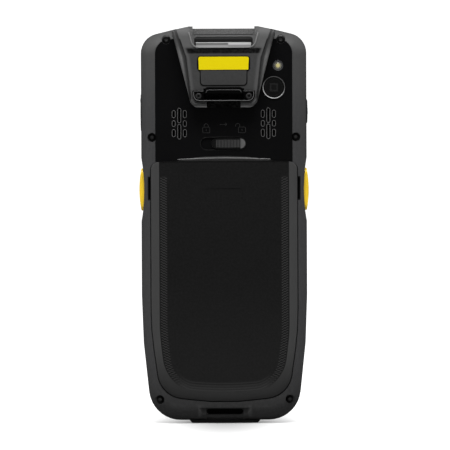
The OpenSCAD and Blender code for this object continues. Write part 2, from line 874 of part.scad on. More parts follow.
module speakers() {
    color([0.15, 0.15, 0.16]) sides() along_y(panel_seat_y + mesh_t, cavity_y + 2.4)
        translate([grille_x, grille_z]) rounded_rect(speaker_w, speaker_l, 2);
}

motor_at = [13.35 - half_w, body_h - 13.3];
motor_r = 4;
motor_t = 2.7;
module vibration_motor() {
    color(steel) pin_y(motor_at, motor_r, board_y - motor_t, board_y);
}

// ---------- Battery, its contacts and its cover ----------

module battery() {
    color([0.2, 0.2, 0.22]) along_y(battery_y, battery_y + battery_t)
        translate([0, bay_z + bay_l / 2]) rounded_rect(battery_w, battery_l, 2);
}

contact_x = -20;
contact_w = 11;
contact_y = -5.8;
contact_h = 2.8;
module contact_block(gap) {
    block([contact_x - gap, contact_y - gap, bay_z + bay_l - past],
        [contact_x + contact_w + gap, contact_y + contact_h + gap, bay_z + bay_l + 2.6]);
}

module battery_contacts() {
    color("gold") {
        block([contact_x, contact_y, bay_z + bay_l + 0.05],
            [contact_x + contact_w, contact_y + contact_h, bay_z + bay_l + 2.6]);
        for (i = [0:3]) {
            x = contact_x + 1.2 + 2.6 * i;
            block([x, contact_y + 0.7, bay_z + bay_l - battery_gap + 0.05],
                [x + 0.8, contact_y + contact_h - 0.7, bay_z + bay_l + 0.2]);
        }
    }
}

module cover_seal() {
    color("black") along_y(cover_under_y, cover_seat_y + seal_t - 0.1)
        translate([0, bay_z + bay_l / 2]) seal_ring();
}

// Rounded band along the edge, rising to the flat of the crown
cover_rings = [
    [cover_under_y, 0], [cover_edge_y, 0], [cover_back_y + 0.55, 0.15 * cover_band],
    [cover_back_y + 0.2, 0.5 * cover_band], [cover_back_y, cover_band]
];
lip_slope = 27;
lip_l = 2.3;
badge_w = 15.2;
badge_h = 5.7;
badge_drop = 16.3;
badge_sink = 0.15;
module battery_cover() {
    color(shell_black) difference() {
        union() {
            difference() {
                loft(cover_corners, cover_rings);
                along_y(battery_y - 0.4, cover_under_y + past)
                    translate([0, bay_z + bay_l / 2]) rounded_rect(bay_w, bay_l, bay_r);
            }
            sides() {
                block([hook_x - hook_w / 2, cover_under_y - 0.4, hinge_z + hook_foot],
                    [hook_x + hook_w / 2, hook_front_y, hinge_z + hook_l]);
                block([hook_x - hook_w / 2, hook_back_y, hinge_z - hook_reach],
                    [hook_x + hook_w / 2, hook_front_y, hinge_z + hook_foot + 0.1]);
            }
        }
        translate([0, cover_back_y, cover_top - lip_l]) rotate([-lip_slope, 0, 0])
            block([-half_w, -4, -past], [half_w, 0, 3 * lip_l]);
        along_y(cover_back_y - past, cover_back_y + badge_sink)
            translate([0, cover_top - badge_drop]) rounded_rect(badge_w, badge_h, 1.4);
    }
}

// Steel catch under the cover: a stem and a toe that the tongue of the latch slides behind
module cover_keeper() {
    color(steel) {
        block([keeper_stem_x, cover_under_y, keeper_z],
            [keeper_stem_x + keeper_stem_w, keeper_front_y, keeper_z + keeper_l]);
        block([keeper_stem_x, toe_y, keeper_z], [keeper_toe_x, keeper_front_y, keeper_z + keeper_l]);
    }
}

// ---------- Latch ----------

latch_right = 9;
latch_left = latch_right - 2 * 0.2 - knob_l - latch_travel;
latch_sink = 0.6;
knob_x = latch_right - 0.2 - knob_l / 2;
latch_stem_l = 4;
latch_stem_h = 2.4;

module latch_slot() {
    translate([knob_x - latch_travel / 2, latch_z])
        square([latch_stem_l + latch_travel + 0.6, latch_stem_h + 0.4], center = true);
}

module latch_knob() {
    knob_y = panel_y - 0.45;
    floor_gap_y = panel_y + latch_sink - 0.2;
    color([0.25, 0.25, 0.26]) {
        difference() {
            along_y(knob_y, floor_gap_y) translate([knob_x, latch_z]) stadium(knob_l, knob_h);
            for (i = [-4:4]) translate([knob_x + 1.2 * i, knob_y, latch_z])
                cube([0.5, 0.7, knob_h - 0.8], center = true);
        }
        along_y(floor_gap_y - 0.1, bolt_y) translate([knob_x, latch_z])
            square([latch_stem_l, latch_stem_h], center = true);
    }
}

module latch_bolt() {
    color(steel) {
        block([knob_x - 4, bolt_y, cavity_z + latch_slip],
            [tongue_x + tongue_w, bolt_y + bolt_t, latch_z + 2.6]);
        block([tongue_x, bolt_y, keeper_z - 0.3], [tongue_x + tongue_w, bolt_y + bolt_t, cavity_z + 0.5]);
    }
}

// ---------- Side triggers and keys ----------

flange_t = 0.75;
flange_grow = 0.6;
wall_in_x = half_w - side_wall - 0.1;

// Push key in the right rail: a cap that passes its window, bowed along its length, and a flange
module side_key(w, l, r, out_x, bow) {
    bow_r = (l * l / 4 + bow * bow) / (2 * bow);
    intersection() {
        along_x(wall_in_x - 0.1, out_x) rounded_rect(w, l, r);
        pin_y([out_x - bow_r, 0], bow_r, -w, w, $fn = 400);
    }
    along_x(wall_in_x - flange_t, wall_in_x) rounded_rect(w + 2 * flange_grow, l + 2 * flange_grow, r);
}

trigger_out_x = half_w - scoop_depth + trigger_out;
module trigger() {
    color(signal_yellow) translate([0, side_y, trigger_z])
        side_key(trigger_w, trigger_l, 2.4, trigger_out_x, 0.85);
}

module trigger_right() {
    trigger();
}

module trigger_left() {
    mirror([1, 0, 0]) trigger();
}

module volume_key() {
    color(shell_black) mirror([1, 0, 0]) translate([0, side_key_y, volume_z])
        side_key(side_key_w, volume_l, 1.2, half_w + side_key_travel, 0.12);
}

module power_key() {
    color(shell_black) translate([0, side_key_y, power_z])
        side_key(side_key_w, power_l, 1.2, half_w + side_key_travel + 0.2, 0.12);
}

// Switches that stand on the back of the board
module board_switch(face_x, y0, l, z) {
    translate([0, 0, z]) {
        block([face_x - 1.4, y0, -l / 2], [face_x, board_y, l / 2]);
        block([face_x - 2, y0 + 0.6, -l / 2 + 0.5], [face_x - 1.3, board_y, l / 2 - 0.5]);
    }
}

trigger_switch_l = 5;
side_switch_l = 4.5;
trigger_switch_x = wall_in_x - flange_t - trigger_travel - 0.1;
module trigger_switches() {
    color("gray") sides() board_switch(trigger_switch_x, side_y - 1.6, trigger_switch_l, trigger_z);
}

module side_switches() {
    face_x = wall_in_x - flange_t - side_key_travel - 0.1;
    color("gray") {
        board_switch(face_x, side_key_y - 1.2, side_switch_l, power_z);
        mirror([1, 0, 0]) for (z = [-4.4, 4.4])
            board_switch(face_x, side_key_y - 1.2, side_switch_l, volume_z + z);
    }
}

// ---------- Boards ----------

board_inset = side_wall + 0.6;
card_x = -13;
card_w = 13;
card_l = 14;
card_z = bay_z + bay_l - card_l - 4.6;

module card_window() {
    block([card_x, floor_y - bay_floor - past, card_z], [card_x + card_w, floor_y + past, card_z + card_l]);
}

module card_socket() {
    color(steel) block([card_x + 0.2, floor_y - bay_floor + 0.3, card_z + 0.2],
        [card_x + card_w - 0.2, board_y, card_z + card_l - 0.2]);
}

module main_board() {
    color([0.05, 0.25, 0.12]) difference() {
        union() {
            intersection() {
                along_y(board_y, board_y + board_t) body_outline(board_inset);
                block([-half_w, 0, cavity_low_z + 0.6], [half_w, 10, body_h]);
            }
            for (can = [[-20, 66, 18, 22], [2, 62, 20, 30], [-16, cover_top + 10.2, 26, 20]])
                translate([can[0], board_y + board_t - 0.1, can[1]]) cube([can[2], 1.3, can[3]]);
        }
        screw_bosses(boss_r + 0.9, floor_y, front_depth);
        sides() for (at = board_screw_places) pin_y(at, board_screw_r + seat, floor_y, front_depth);
        sides() block([trigger_switch_x + seat, floor_y, trigger_z - trigger_l / 2 - 2 * flange_grow],
            [half_w, front_depth, trigger_z + trigger_l / 2 + 2 * flange_grow]);
    }
}

module board_screws() {
    color(steel) sides() for (at = board_screw_places) {
        pin_y(at, 1.3, board_y + board_t, board_y + board_t + 0.7);
        pin_y(at, board_screw_r, floor_y - 0.8, board_y + board_t + 0.1);
    }
}

dock_pitch = 1.5;
pin_r = 0.45;
module dock_connector() {
    color([0.15, 0.15, 0.16]) difference() {
        block([-dock_w / 2, -dock_d / 2, 0], [dock_w / 2, dock_d / 2, dock_h]);
        for (i = [-3.5:3.5]) translate([dock_pitch * i, 0, -past])
            cylinder(r = pin_r + seat, h = dock_h - past);
    }
}

module dock_pins() {
    color("gold") for (i = [-3.5:3.5]) translate([dock_pitch * i, 0, 0.2])
        cylinder(r = pin_r, h = dock_h - 2.2);
}

module housing_gasket() {
    color("black") along_y(parting - gasket_t, parting) gasket_ring();
}

// ---------- Front ----------

glass_w = body_w - 2 * bezel_w;
glass_l = body_h - bezel_top - glass_z;
glass_mid_z = glass_z + glass_l / 2;
display_w = glass_w - 2 * border_w;
display_l = glass_l - border_low - border_top;
display_z = glass_z + border_low;
ear_w = 10;
ear_z = glass_z + glass_l - 3.3;
receiver_w = 13;
receiver_l = 5.4;
key_flange = 0.6;
key_flange_t = 0.7;
mat_y = keys_under_y - key_flange_t - key_travel - 0.1;
mat_t = 1.5;
key_board_t = 0.8;

// Keys as [name, x, z, w, h]
row_z = [for (row = [0:3]) key_z + row * key_pitch_z];
nav_z = key_z + 3 * key_pitch_z + 9;
nav_w = 8;
nav_x = scan_key_w / 2 + 2 * key_flange + 0.7 + nav_w / 2;
nav_pitch = nav_w + 2 * key_flange + 0.2;
// Rows from the lowest, each as its keys read from the left of someone facing the display, who has +X at their left
number_names = [
    ["key_star", "key_0", "key_hash"], ["key_7", "key_8", "key_9"],
    ["key_4", "key_5", "key_6"], ["key_1", "key_2", "key_3"]
];
keys = concat(
    [["scan_key", 0, nav_z, scan_key_w, scan_key_h]],
    [for (k = [["key_menu", nav_x + nav_pitch], ["key_home", nav_x], ["key_back", -nav_x],
        ["key_enter", -nav_x - nav_pitch]]) [k[0], k[1], nav_z, nav_w, key_h]],
    [for (row = [0:3], col = [0:2])
        [number_names[row][col], (1 - col) * key_pitch_x, row_z[row], key_w, key_h]]
);

module key_outline(key, grow) {
    w = key[3] + 2 * grow;
    h = key[4] + 2 * grow;
    translate([key[1], key[2]]) rounded_rect(w, h, (key[0] == "scan_key" ? 3.8 : 1.8) + grow);
}

module front_housing() {
    color(shell_black) difference() {
        union() {
            difference() {
                loft(body_corners, front_rings);
                along_y(parting - past, keys_under_y) body_outline(side_wall);
            }
            intersection() {
                screw_bosses(boss_r, parting, keys_under_y + 0.5);
                along_y(parting, keys_under_y + 0.5) body_outline(side_wall - 0.3);
            }
        }
        scoops();
        along_y(glass_y, front_depth + past)
            translate([0, glass_mid_z]) rounded_rect(glass_w + 2 * seat, glass_l + 2 * seat, 4);
        along_y(parting, glass_y + past)
            translate([0, display_z + display_l / 2]) rounded_rect(display_w + 0.4, display_l + 0.4, 1);
        along_y(parting, glass_y + past)
            translate([0, ear_z]) rounded_rect(receiver_w + 0.2, receiver_l + 0.2, 1);
        for (key = keys) along_y(parting, front_depth + past) key_outline(key, run);
        sides() for (at = screw_places) pin_y(at, screw_r + seat, parting - past, screw_tip_y + 0.2);
    }
}

module touch_glass() {
    color([0.05, 0.05, 0.06]) difference() {
        along_y(glass_y, glass_y + glass_t)
            translate([0, glass_mid_z]) rounded_rect(glass_w, glass_l, 4 - seat);
        along_y(glass_y - past, glass_y + glass_t + past) translate([0, ear_z]) stadium(ear_w, 1.5);
    }
}

module display_module() {
    color([0.1, 0.12, 0.16]) along_y(glass_y - display_t, glass_y)
        translate([0, display_z + display_l / 2]) rounded_rect(display_w, display_l, 0.8);
}

module receiver() {
    color([0.15, 0.15, 0.16]) along_y(glass_y - 2.6, glass_y)
        translate([0, ear_z]) rounded_rect(receiver_w, receiver_l, 0.9);
}

module earpiece_mesh() {
    color("gray") along_y(glass_y, glass_y + 0.9) translate([0, ear_z])
        stadium(ear_w - 2 * seat, 1.5 - 2 * seat);
}

module keypad_sheet(y0, y1, inset) {
    difference() {
        intersection() {
            along_y(y0, y1) body_outline(side_wall + inset);
            block([-half_w, 0, cavity_low_z - 2], [half_w, front_depth, glass_z - 1.2]);
        }
        screw_bosses(boss_r + 0.3, 0, front_depth);
    }
}

module keypad_mat() {
    color([0.2, 0.2, 0.2]) keypad_sheet(mat_y - mat_t, mat_y, 0.3);
}

module keypad_board() {
    color([0.05, 0.25, 0.12]) keypad_sheet(mat_y - mat_t - key_board_t, mat_y - mat_t, 0.25);
}

module key_cap(name) {
    key = [for (k = keys) if (k[0] == name) k][0];
    out_y = front_depth + key_out;
    color(name == "scan_key" ? signal_yellow : [0.2, 0.2, 0.21]) {
        along_y(keys_under_y - 0.1, out_y - 0.4) key_outline(key, 0);
        along_y(out_y - 0.5, out_y) key_outline(key, -0.4);
        along_y(keys_under_y - key_flange_t, keys_under_y) key_outline(key, key_flange);
    }
}

rear_housing();
tail_shoe();
back_panel();
scanner_housing();
scanner_window();
label_plate();
strap_bracket();
strap_bracket_screws();
housing_screws();
camera_bezel();
camera_lens();
camera_module();
flash_lens();
speakers();
speaker_mesh();
scan_engine();
front_housing();
touch_glass();
display_module();
receiver();
earpiece_mesh();
keypad_mat();
keypad_board();
main_board();
board_screws();
card_socket();
vibration_motor();
trigger_switches();
side_switches();
dock_connector();
dock_pins();
housing_gasket();
cover_seal();
battery();
battery_contacts();
battery_cover();
cover_keeper();
latch_knob();
latch_bolt();
trigger_left();
trigger_right();
volume_key();
power_key();
for (key = keys) key_cap(key[0]);
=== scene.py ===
"""Portable data terminal with a scanner hood: finishes, small fittings, light and camera.

Lengths are in millimetres until a mesh, a lamp or the camera is made. The terminal stands on its tail:
X runs across it, Z up its length, and its back faces -Y.
"""
import json
import math

import bmesh
import bpy
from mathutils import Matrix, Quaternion, Vector
from mathutils.bvhtree import BVHTree


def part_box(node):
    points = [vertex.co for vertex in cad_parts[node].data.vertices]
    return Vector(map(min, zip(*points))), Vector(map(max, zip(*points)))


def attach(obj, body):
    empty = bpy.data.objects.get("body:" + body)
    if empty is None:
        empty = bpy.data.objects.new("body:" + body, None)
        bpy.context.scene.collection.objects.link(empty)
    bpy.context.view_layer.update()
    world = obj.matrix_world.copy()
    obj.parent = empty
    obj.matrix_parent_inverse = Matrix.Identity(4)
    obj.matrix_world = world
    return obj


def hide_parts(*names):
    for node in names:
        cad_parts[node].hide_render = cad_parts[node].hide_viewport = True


MM = 0.001
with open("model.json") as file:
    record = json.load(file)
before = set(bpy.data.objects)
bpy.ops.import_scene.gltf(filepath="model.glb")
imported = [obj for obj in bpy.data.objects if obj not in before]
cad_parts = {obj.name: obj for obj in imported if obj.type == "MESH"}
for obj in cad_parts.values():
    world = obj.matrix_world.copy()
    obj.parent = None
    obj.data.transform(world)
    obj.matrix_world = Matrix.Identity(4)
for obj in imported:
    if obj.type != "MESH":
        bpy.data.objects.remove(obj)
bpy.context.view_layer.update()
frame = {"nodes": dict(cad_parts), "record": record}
NODES = frame["nodes"]
BODY_OF = {node: body for body, nodes in frame["record"]["behaviour"]["bodies"].items() for node in nodes}


def box(node):
    """Lowest and highest corner of a node, in millimetres."""
    low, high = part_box(node)
    return low / MM, high / MM


def middle(low, high):
    """Middle of a box as (x, z)."""
    return (low.x + high.x) / 2, (low.z + high.z) / 2


# Height of the window's sill, and depth of the sunken field below it, which the label's film lies on
SILL_Z = box("scanner_housing")[0].z + 24.6
SILL_Y = box("label_plate")[1].y


def placed(name, data):
    """A new object in the scene."""
    made = bpy.data.objects.new(name, data)
    bpy.context.scene.collection.objects.link(made)
    return made


def islands(node):
    """Lowest and highest corner of each solid of a node, in millimetres, sorted by X and then by Z."""
    shape = bmesh.new()
    shape.from_mesh(NODES[node].data)
    bmesh.ops.remove_doubles(shape, verts=shape.verts, dist=1e-6)
    left, found = set(shape.verts), []
    while left:
        stack, island = [left.pop()], []
        while stack:
            vert = stack.pop()
            island.append(vert.co / MM)
            for edge in vert.link_edges:
                other = edge.other_vert(vert)
                if other in left:
                    left.discard(other)
                    stack.append(other)
        found.append((Vector(map(min, *island)), Vector(map(max, *island))))
    shape.free()
    return sorted(found, key=lambda pair: (round(pair[0].x), round(pair[0].z)))


# ---------- Colour and shader maths ----------

def colour(red, green=None, blue=None):
    """A display colour of 0 to 255 as the linear colour of a socket. One number is a grey."""
    parts = (red, red if green is None else green, red if blue is None else blue)
    return tuple((v / 255 / 12.92) if v < 10.4 else ((v / 255 + 0.055) / 1.055) ** 2.4 for v in parts) + (1.0,)


class Wire:
    """A value in a material: Python operators on it add Math nodes."""

    def __init__(self, finish, socket):
        self.finish, self.socket = finish, socket

    def maths(self, operation, *values):
        return self.finish.node("ShaderNodeMath", {"operation": operation}, dict(enumerate(values)))

    def __add__(self, other):
        return self.maths("ADD", self, other)

    def __sub__(self, other):
        return self.maths("SUBTRACT", self, other)

    def __rsub__(self, other):
        return self.maths("SUBTRACT", other, self)

    def __mul__(self, other):
        return self.maths("MULTIPLY", self, other)

    def __truediv__(self, other):
        return self.maths("DIVIDE", self, other)

    def __abs__(self):
        return self.maths("ABSOLUTE", self)

    __radd__ = __add__
    __rmul__ = __mul__

    def least(self, other):
        return self.maths("MINIMUM", self, other)

    def most(self, other):
        return self.maths("MAXIMUM", self, other)

    def root(self):
        return self.maths("SQRT", self)

    def wave(self, pitch):
        """A smooth 0 to 1 ripple once every pitch."""
        return 0.5 + 0.5 * self.maths("SINE", self * (2 * math.pi / pitch))

    def rise(self, low, high):
        """0 below low, 1 above high, smooth between. With low above high it falls."""
        if low > high:
            return 1 - self.rise(high, low)
        return self.finish.node("ShaderNodeMapRange", {"interpolation_type": "SMOOTHSTEP"},
                                {"Value": self, "From Min": low, "From Max": high})

    def between(self, low, high, soft, soft_high=None):
        """1 between low and high, falling to 0 at both over the soft widths inside them."""
        return self.rise(low, low + soft) * self.rise(high, high - (soft_high or soft))


def outside(beside, beyond, corner):
    """How far a point is outside a rounded corner, from its distances past the two sides."""
    beside, beyond = (beside + corner).most(0), (beyond + corner).most(0)
    return (beside * beside + beyond * beyond).root() - corner


class Finish:
    """One material. A node takes its type, its settings first, and then its sockets' values or links."""

    def __init__(self, name):
        self.material = bpy.data.materials.new(name)
        self.material.use_nodes = True
        self.tree = self.material.node_tree
        self.tree.nodes.clear()

    @classmethod
    def of_tree(cls, tree):
        """The same helpers on a node tree that is no material's, such as the world's."""
        made = cls.__new__(cls)
        made.material, made.tree = None, tree
        tree.nodes.clear()
        return made

    def node(self, kind, settings=(), sockets=(), output=0):
        made = self.tree.nodes.new(kind)
        for key, value in dict(settings).items():
            setattr(made, key, value)
        for key, value in dict(sockets).items():
            if isinstance(value, Wire):
                self.tree.links.new(value.socket, made.inputs[key])
            else:
                made.inputs[key].default_value = value
        return Wire(self, made.outputs[output]) if made.outputs else None

    def place(self, stretch=(1, 1, 1)):
        """Object coordinates in millimetres, as one vector, stretched along the axes."""
        at = self.node("ShaderNodeTexCoord", output="Object")
        scale = [share / MM for share in stretch]
        return self.node("ShaderNodeVectorMath", {"operation": "MULTIPLY"}, {0: at, 1: scale})

    def parts(self, vector):
        """X, Y and Z of a vector."""
        split = self.node("ShaderNodeSeparateXYZ", {}, {0: vector})
        return [Wire(self, output) for output in split.socket.node.outputs]

    def across_depth_up(self):
        return self.parts(self.place())

    def about(self, node):
        """Distances across, up and straight out from the middle of a round node, in millimetres."""
        across, _, up = self.across_depth_up()
        x, z = middle(*box(node))
        dx, dz = across - x, up - z
        return dx, dz, (dx * dx + dz * dz).root()

    def rays(self):
        """1 for rays from the camera, from reflections and through glass."""
        path = self.node("ShaderNodeLightPath").socket.node.outputs
        return [Wire(self, path[kind]) for kind in ("Is Camera Ray", "Is Glossy Ray", "Is Transmission Ray")]

    def noise(self, size, detail=2.0, stretch=(1, 1, 1)):
        return self.node("ShaderNodeTexNoise", {}, {"Vector": self.place(stretch), "Scale": 1 / size,
                                                    "Detail": detail})

    def cells(self, size):
        return self.node("ShaderNodeTexVoronoi", {}, {"Vector": self.place(), "Scale": 1 / size})

    def eroded(self):
        """Broad tone and fine pits of plastic from a spark-eroded mould."""
        return self.noise(0.9, 4).rise(0.3, 0.75), self.noise(0.28, 2)

    def mix(self, mask, first, second):
        """First colour where the mask is 0, second where it is 1."""
        return self.node("ShaderNodeMix", {"data_type": "RGBA"}, {0: mask, 6: first, 7: second}, output=2)

    def coats(self, shade, *layers):
        """Lays colours over a first one. A layer is a mask and a colour, or a mask and a grey of 0 to 255."""
        for mask, tint in layers:
            shade = self.mix(mask, shade, colour(tint) if isinstance(tint, int) else tint)
        return shade

    def bump(self, height, depth, under=None):
        sockets = {"Height": height, "Distance": depth * MM, "Strength": 1.0}
        if under is not None:
            sockets["Normal"] = under
        return self.node("ShaderNodeBump", {}, sockets)

    def surface(self, sockets):
        shader = self.node("ShaderNodeBsdfPrincipled", {}, sockets)
        self.node("ShaderNodeOutputMaterial", {}, {"Surface": shader})
        return self.material

    def skin(self, shade, rough, shine, height, depth, more=()):
        """A surface with relief, from a height of 0 to 1 and a depth in millimetres."""
        return self.surface({"Base Color": shade, "Roughness": rough, "Specular IOR Level": shine,
                             "Normal": self.bump(height, depth), **dict(more)})


def toned(base, factor):
    """A colour made darker or lighter."""
    return tuple(part * factor for part in base[:3]) + (1.0,)


def grained_plastic(name, base, rough=0.5):
    """Moulded plastic with a spark-eroded grain. Handling polishes it a little in broad patches."""
    finish = Finish(name)
    polish = finish.noise(9, 3).rise(0.45, 0.72)
    tone, pits = finish.eroded()
    shade = finish.mix(tone, toned(base, 0.88), toned(base, 1.1))
    return finish.skin(shade, rough - 0.035 * polish + 0.05 * pits, 0.16, pits, 0.012)


def satin_plastic(name, base, rough=0.38, shine=0.2):
    """Smooth moulded plastic with the faint waviness of a polished tool."""
    finish = Finish(name)
    flow, fine = finish.noise(1.6, 3), finish.noise(0.12, 2)
    shade = finish.mix(finish.noise(14, 2).rise(0.35, 0.65), toned(base, 0.94), toned(base, 1.06))
    return finish.skin(shade, rough + 0.1 * (flow - 0.5), shine, flow + 0.4 * fine, 0.004)


def plated_metal(name, base, rough=0.3, brushed=(1, 1, 1)):
    """Plated or drawn metal: fine streaks along one axis and duller handled patches."""
    finish = Finish(name)
    streaks, dull = finish.noise(0.18, 3, brushed), finish.noise(2.5, 4).rise(0.45, 0.8)
    return finish.skin(finish.mix(dull, base, toned(base, 0.8)), rough + 0.12 * dull + 0.1 * streaks, 0.5,
                       streaks, 0.002, {"Metallic": 1.0})


def rubber(name, base, rough=0.75):
    """Rubber with a pale bloom in patches."""
    finish = Finish(name)
    bloom, fine = finish.noise(3.5, 4).rise(0.5, 0.85), finish.noise(0.15, 2)
    return finish.skin(finish.mix(0.35 * bloom, base, colour(74)), rough + 0.1 * fine, 0.3, fine, 0.01)


def cover_finish(name):
    """Battery cover: a dark soft-touch field inside a grey rim, with a band of pressed slanting ribs down each
    side that turns into fine lines along the rounded foot of the cover."""
    finish = Finish(name)
    low, high = box("battery_cover")
    across, depth, up = finish.across_depth_up()
    side = abs(across)
    # inset from a rounded outline whose sides taper to the foot and whose foot is bowed
    reach, foot_rim, rib_pitch, line_pitch = 15, 1.3, 1.068, 1.05
    corner_z = low.z + foot_rim + reach
    taper = (up - low.z).rise(34, 0) * 3.1
    level = up - across * across * 0.0035
    past_side, past_foot = side + taper - (high.x - reach), corner_z - level
    out = (past_side.most(0) * past_side.most(0) + past_foot.most(0) * past_foot.most(0)).root()
    inset = reach - out - past_side.most(past_foot).least(0)
    # how far the outline has turned, from 0 along a side to a quarter turn along the foot
    turned = past_foot.most(0).maths("ARCTAN2", past_foot.most(0), past_side.most(0.01))
    at_foot = turned.rise(0.55, 1.25)
    along = level.most(corner_z) - turned * out
    ribs = (along + inset * 0.3 + 0.3 * inset.wave(1.2)).wave(rib_pitch)
    lines = inset.wave(line_pitch)
    side_band = (1 - at_foot) * inset.between(3.9, 6.9, 0.2, 0.4) * up.rise(high.z - 8.3, high.z - 9.3)
    foot_band = at_foot * inset.between(3.6, 8.3, 0.3, 0.4)
    field = (1 - at_foot) * inset.rise(3.45, 3.65) + at_foot * inset.rise(3.6, 8.2)
    lip = (up + across * across * 0.0015).rise(high.z - 1.6, high.z - 1.2) * side.rise(20.5, 18.5)
    top_groove = up.rise(high.z - 3.1, high.z - 2.7) * (1 - lip) * side.rise(26.2, 25.8)
    # Painted shade: dark where the cover's edge falls into its seam, except near its top.
    seam_shade = side.rise(high.x - 1.2, high.x - 0.9).most(up.rise(high.z - 8, high.z - 12))
    tone = finish.noise(0.9, 4).rise(0.3, 0.75)
    # Painted shade and light: the grey rim grows darker towards the foot, and the dark field grows lighter
    # towards it.
    rim = finish.mix(up.rise(low.z + 26, low.z + 5), colour(66), colour(46))
    centre = finish.mix(up.rise(low.z + 60, low.z + 8), colour(20), colour(27))
    shade = finish.coats(finish.mix(field, rim, centre), (top_groove, 9), (lip, 52),
                         (side_band, finish.mix(ribs, colour(5), colour(52))), (0.33 * lines * foot_band, 60),
                         (0.08 * tone, 60), (depth.rise(-9.25, -9.1) * seam_shade, 8))
    rough = 0.56 - 0.06 * finish.noise(11, 3).rise(0.45, 0.7) + 0.05 * field
    grained = finish.bump(finish.noise(0.22, 2), 0.009)
    return finish.surface({"Base Color": shade, "Roughness": rough, "Specular IOR Level": 0.12,
                           "Normal": finish.bump(ribs * side_band + lines * foot_band, 0.05, grained)})


def hood_finish(name):
    """Scanner hood: grained grey, with painted highlights along its flanks, on its crown and on its field. It
    has painted shade in the crease where a flank meets the sunken field, and painted shadow in the undercut
    below the window, round the label, along the top of the window's slot, between its feet and in the room
    behind the strap slot."""
    finish = Finish(name)
    across, depth, up = finish.across_depth_up()
    side, height = abs(across), up - box("scanner_housing")[0].z
    edge = 14.4 + (height - 2.7) * 0.26
    crease = 13.8 + (height - 6.7) * 0.115 + (height - 20.7).most(0) * 0.22
    # 0 at the outer edge of a flank, 1 at its crease
    inward = (edge - side) / (edge - crease)
    from_crease = side - crease
    # Painted shade along each crease, and a painted highlight along the edges of the hood's foot.
    crease_line = abs(from_crease).rise(0.45, 0.1) * height.between(2.7, 28.9, 2, 1.4)
    foot_edge_highlight = (edge - side).least(height + 0.15).between(0.1, 1.3, 0.3, 0.6) * height.rise(3.7, 2.2)
    # Painted light on the crown, and a painted shadow along the top edge of the window's slot.
    crown = height.rise(29.2, 29.6) * side.rise(15, 13.5)
    slot_top_shadow = height.between(29.45, 30, 0.15) * side.rise(12.2, 11.8)
    # Painted shadow, dark: under the window's sill, between the hood's feet and in the room behind the strap
    # slot.
    undercut = height.between(22, 24.5, 0.5, 0.3) * from_crease.rise(-0.4, -2.2)
    feet_gap = side.rise(6.95, 6.85) * height.rise(2.7, 2.5)
    strap_room = side.rise(8.6, 8.4) * depth.rise(-13.95, -13.8) * height.between(2.3, 8.7, 0.2)
    dark = undercut.most(feet_gap).most(strap_room)
    # shadow line round the rounded upper end of the label
    label_top = box("label_plate")[1]
    past_label = outside(side - label_top.x, up - label_top.z, 0.9)
    label_edge = past_label.between(-0.1, 0.42, 0.1, 0.12) * up.rise(label_top.z - 5.2, label_top.z - 5)
    tone, pits = finish.eroded()
    # Painted light and shade: each flank is a painted highlight on its outer side, paler low down, and falls to
    # painted shade at the crease, whose line is darker still. The crown's grain is lightened as painted light.
    # The sunken field is lighter near each crease and above the sill as a painted highlight.
    outer_grey = finish.mix(height.rise(21.7, 26.7), colour(128), colour(96))
    crown_highlight_grain = finish.mix(finish.noise(0.5, 3).rise(0.35, 0.7), colour(66), colour(92))
    flank = finish.mix(inward.rise(0.3, 0.8), outer_grey, colour(44))
    crease_shade = finish.mix(height.rise(22.7, 25.7), colour(30), colour(16))
    sunken = finish.mix(from_crease.rise(-2.2, -0.8), colour(62), colour(84))
    shade = finish.coats(sunken, (height.rise(24.3, 25.3), 90), (from_crease.rise(-0.1, 0.15), flank),
                         (crease_line, crease_shade), (foot_edge_highlight, 118), (crown, crown_highlight_grain), (slot_top_shadow, 24),
                         (label_edge, 14), (dark, 2), (0.1 * tone, 96))
    return finish.skin(shade, 0.5 + 0.05 * pits + 0.4 * dark, 0.14, pits, 0.012)


def latch_finish(name):
    """Latch: dark between its ribs, a little lighter towards its smooth end, and pale on that end, which the
    thumb pushes.
    """
    finish = Finish(name)
    low, high = box("latch_knob")
    across, depth, _ = finish.across_depth_up()
    smooth_end, well = across.rise(high.x - 2.2, high.x - 1.9), depth.rise(high.y - 1.9, high.y - 1.3)
    shade = finish.coats(colour(14), (across.rise(low.x + 1, low.x + 6), 26), (smooth_end, 92), (well, 14))
    fine = finish.noise(0.25, 3)
    return finish.skin(shade, 0.42 + 0.1 * fine, 0.2, fine, 0.006)


def housing_finish(name):
    """Rear housing: grained grey, with painted shade darker round the tail and painted light lighter towards
    the top, painted highlights beside the strap slot, and painted shade black inside the finger slots and the
    strap slot.
    """
    finish = Finish(name)
    across, depth, up = finish.across_depth_up()
    side = abs(across)
    polish = finish.noise(9, 3).rise(0.45, 0.72)
    tone, pits = finish.eroded()
    # Painted shade: black inside the finger slots and the strap slot.
    finger_slot = side.between(29.75, 31.3, 0.1) * up.between(91.4, 101.2, 0.1) * depth.rise(-9.36, -9.3)
    strap_slot = side.rise(7.8, 7.6) * up.between(3.6, 6.3, 0.1) * depth.rise(-8.2, -8.0)
    # Painted highlights on the sides of the strap slot's recess.
    strap_slot_highlights = abs(side - 10.3).rise(1.1, 0.2) * up.between(2.2, 8.2, 1, 1.8)
    # Painted shade darker towards the tail, and painted light lighter towards the top.
    shade = finish.coats(colour(61, 61, 62), (up.rise(30, 0), 44), (up.rise(118, 146), 70),
                         (up.rise(149, 156), 80), (tone * 0.1, 92), (0.5 * strap_slot_highlights, 72),
                         (finger_slot.most(strap_slot), 3))
    return finish.skin(shade, 0.5 - 0.035 * polish + 0.05 * pits, 0.16, pits, 0.012)


def lip_finish(name):
    """Rim of the window: pale as a painted highlight, with a painted shadow along the underside of its sill."""
    finish = Finish(name)
    sill_shadow = finish.across_depth_up()[2].rise(SILL_Z + 0.05, SILL_Z - 0.15)
    fine = finish.noise(0.25, 3)
    shade = finish.coats(colour(112), (fine, 128), (sill_shadow, 20))
    return finish.skin(shade, 0.38 + 0.1 * fine, 0.2, fine, 0.004)


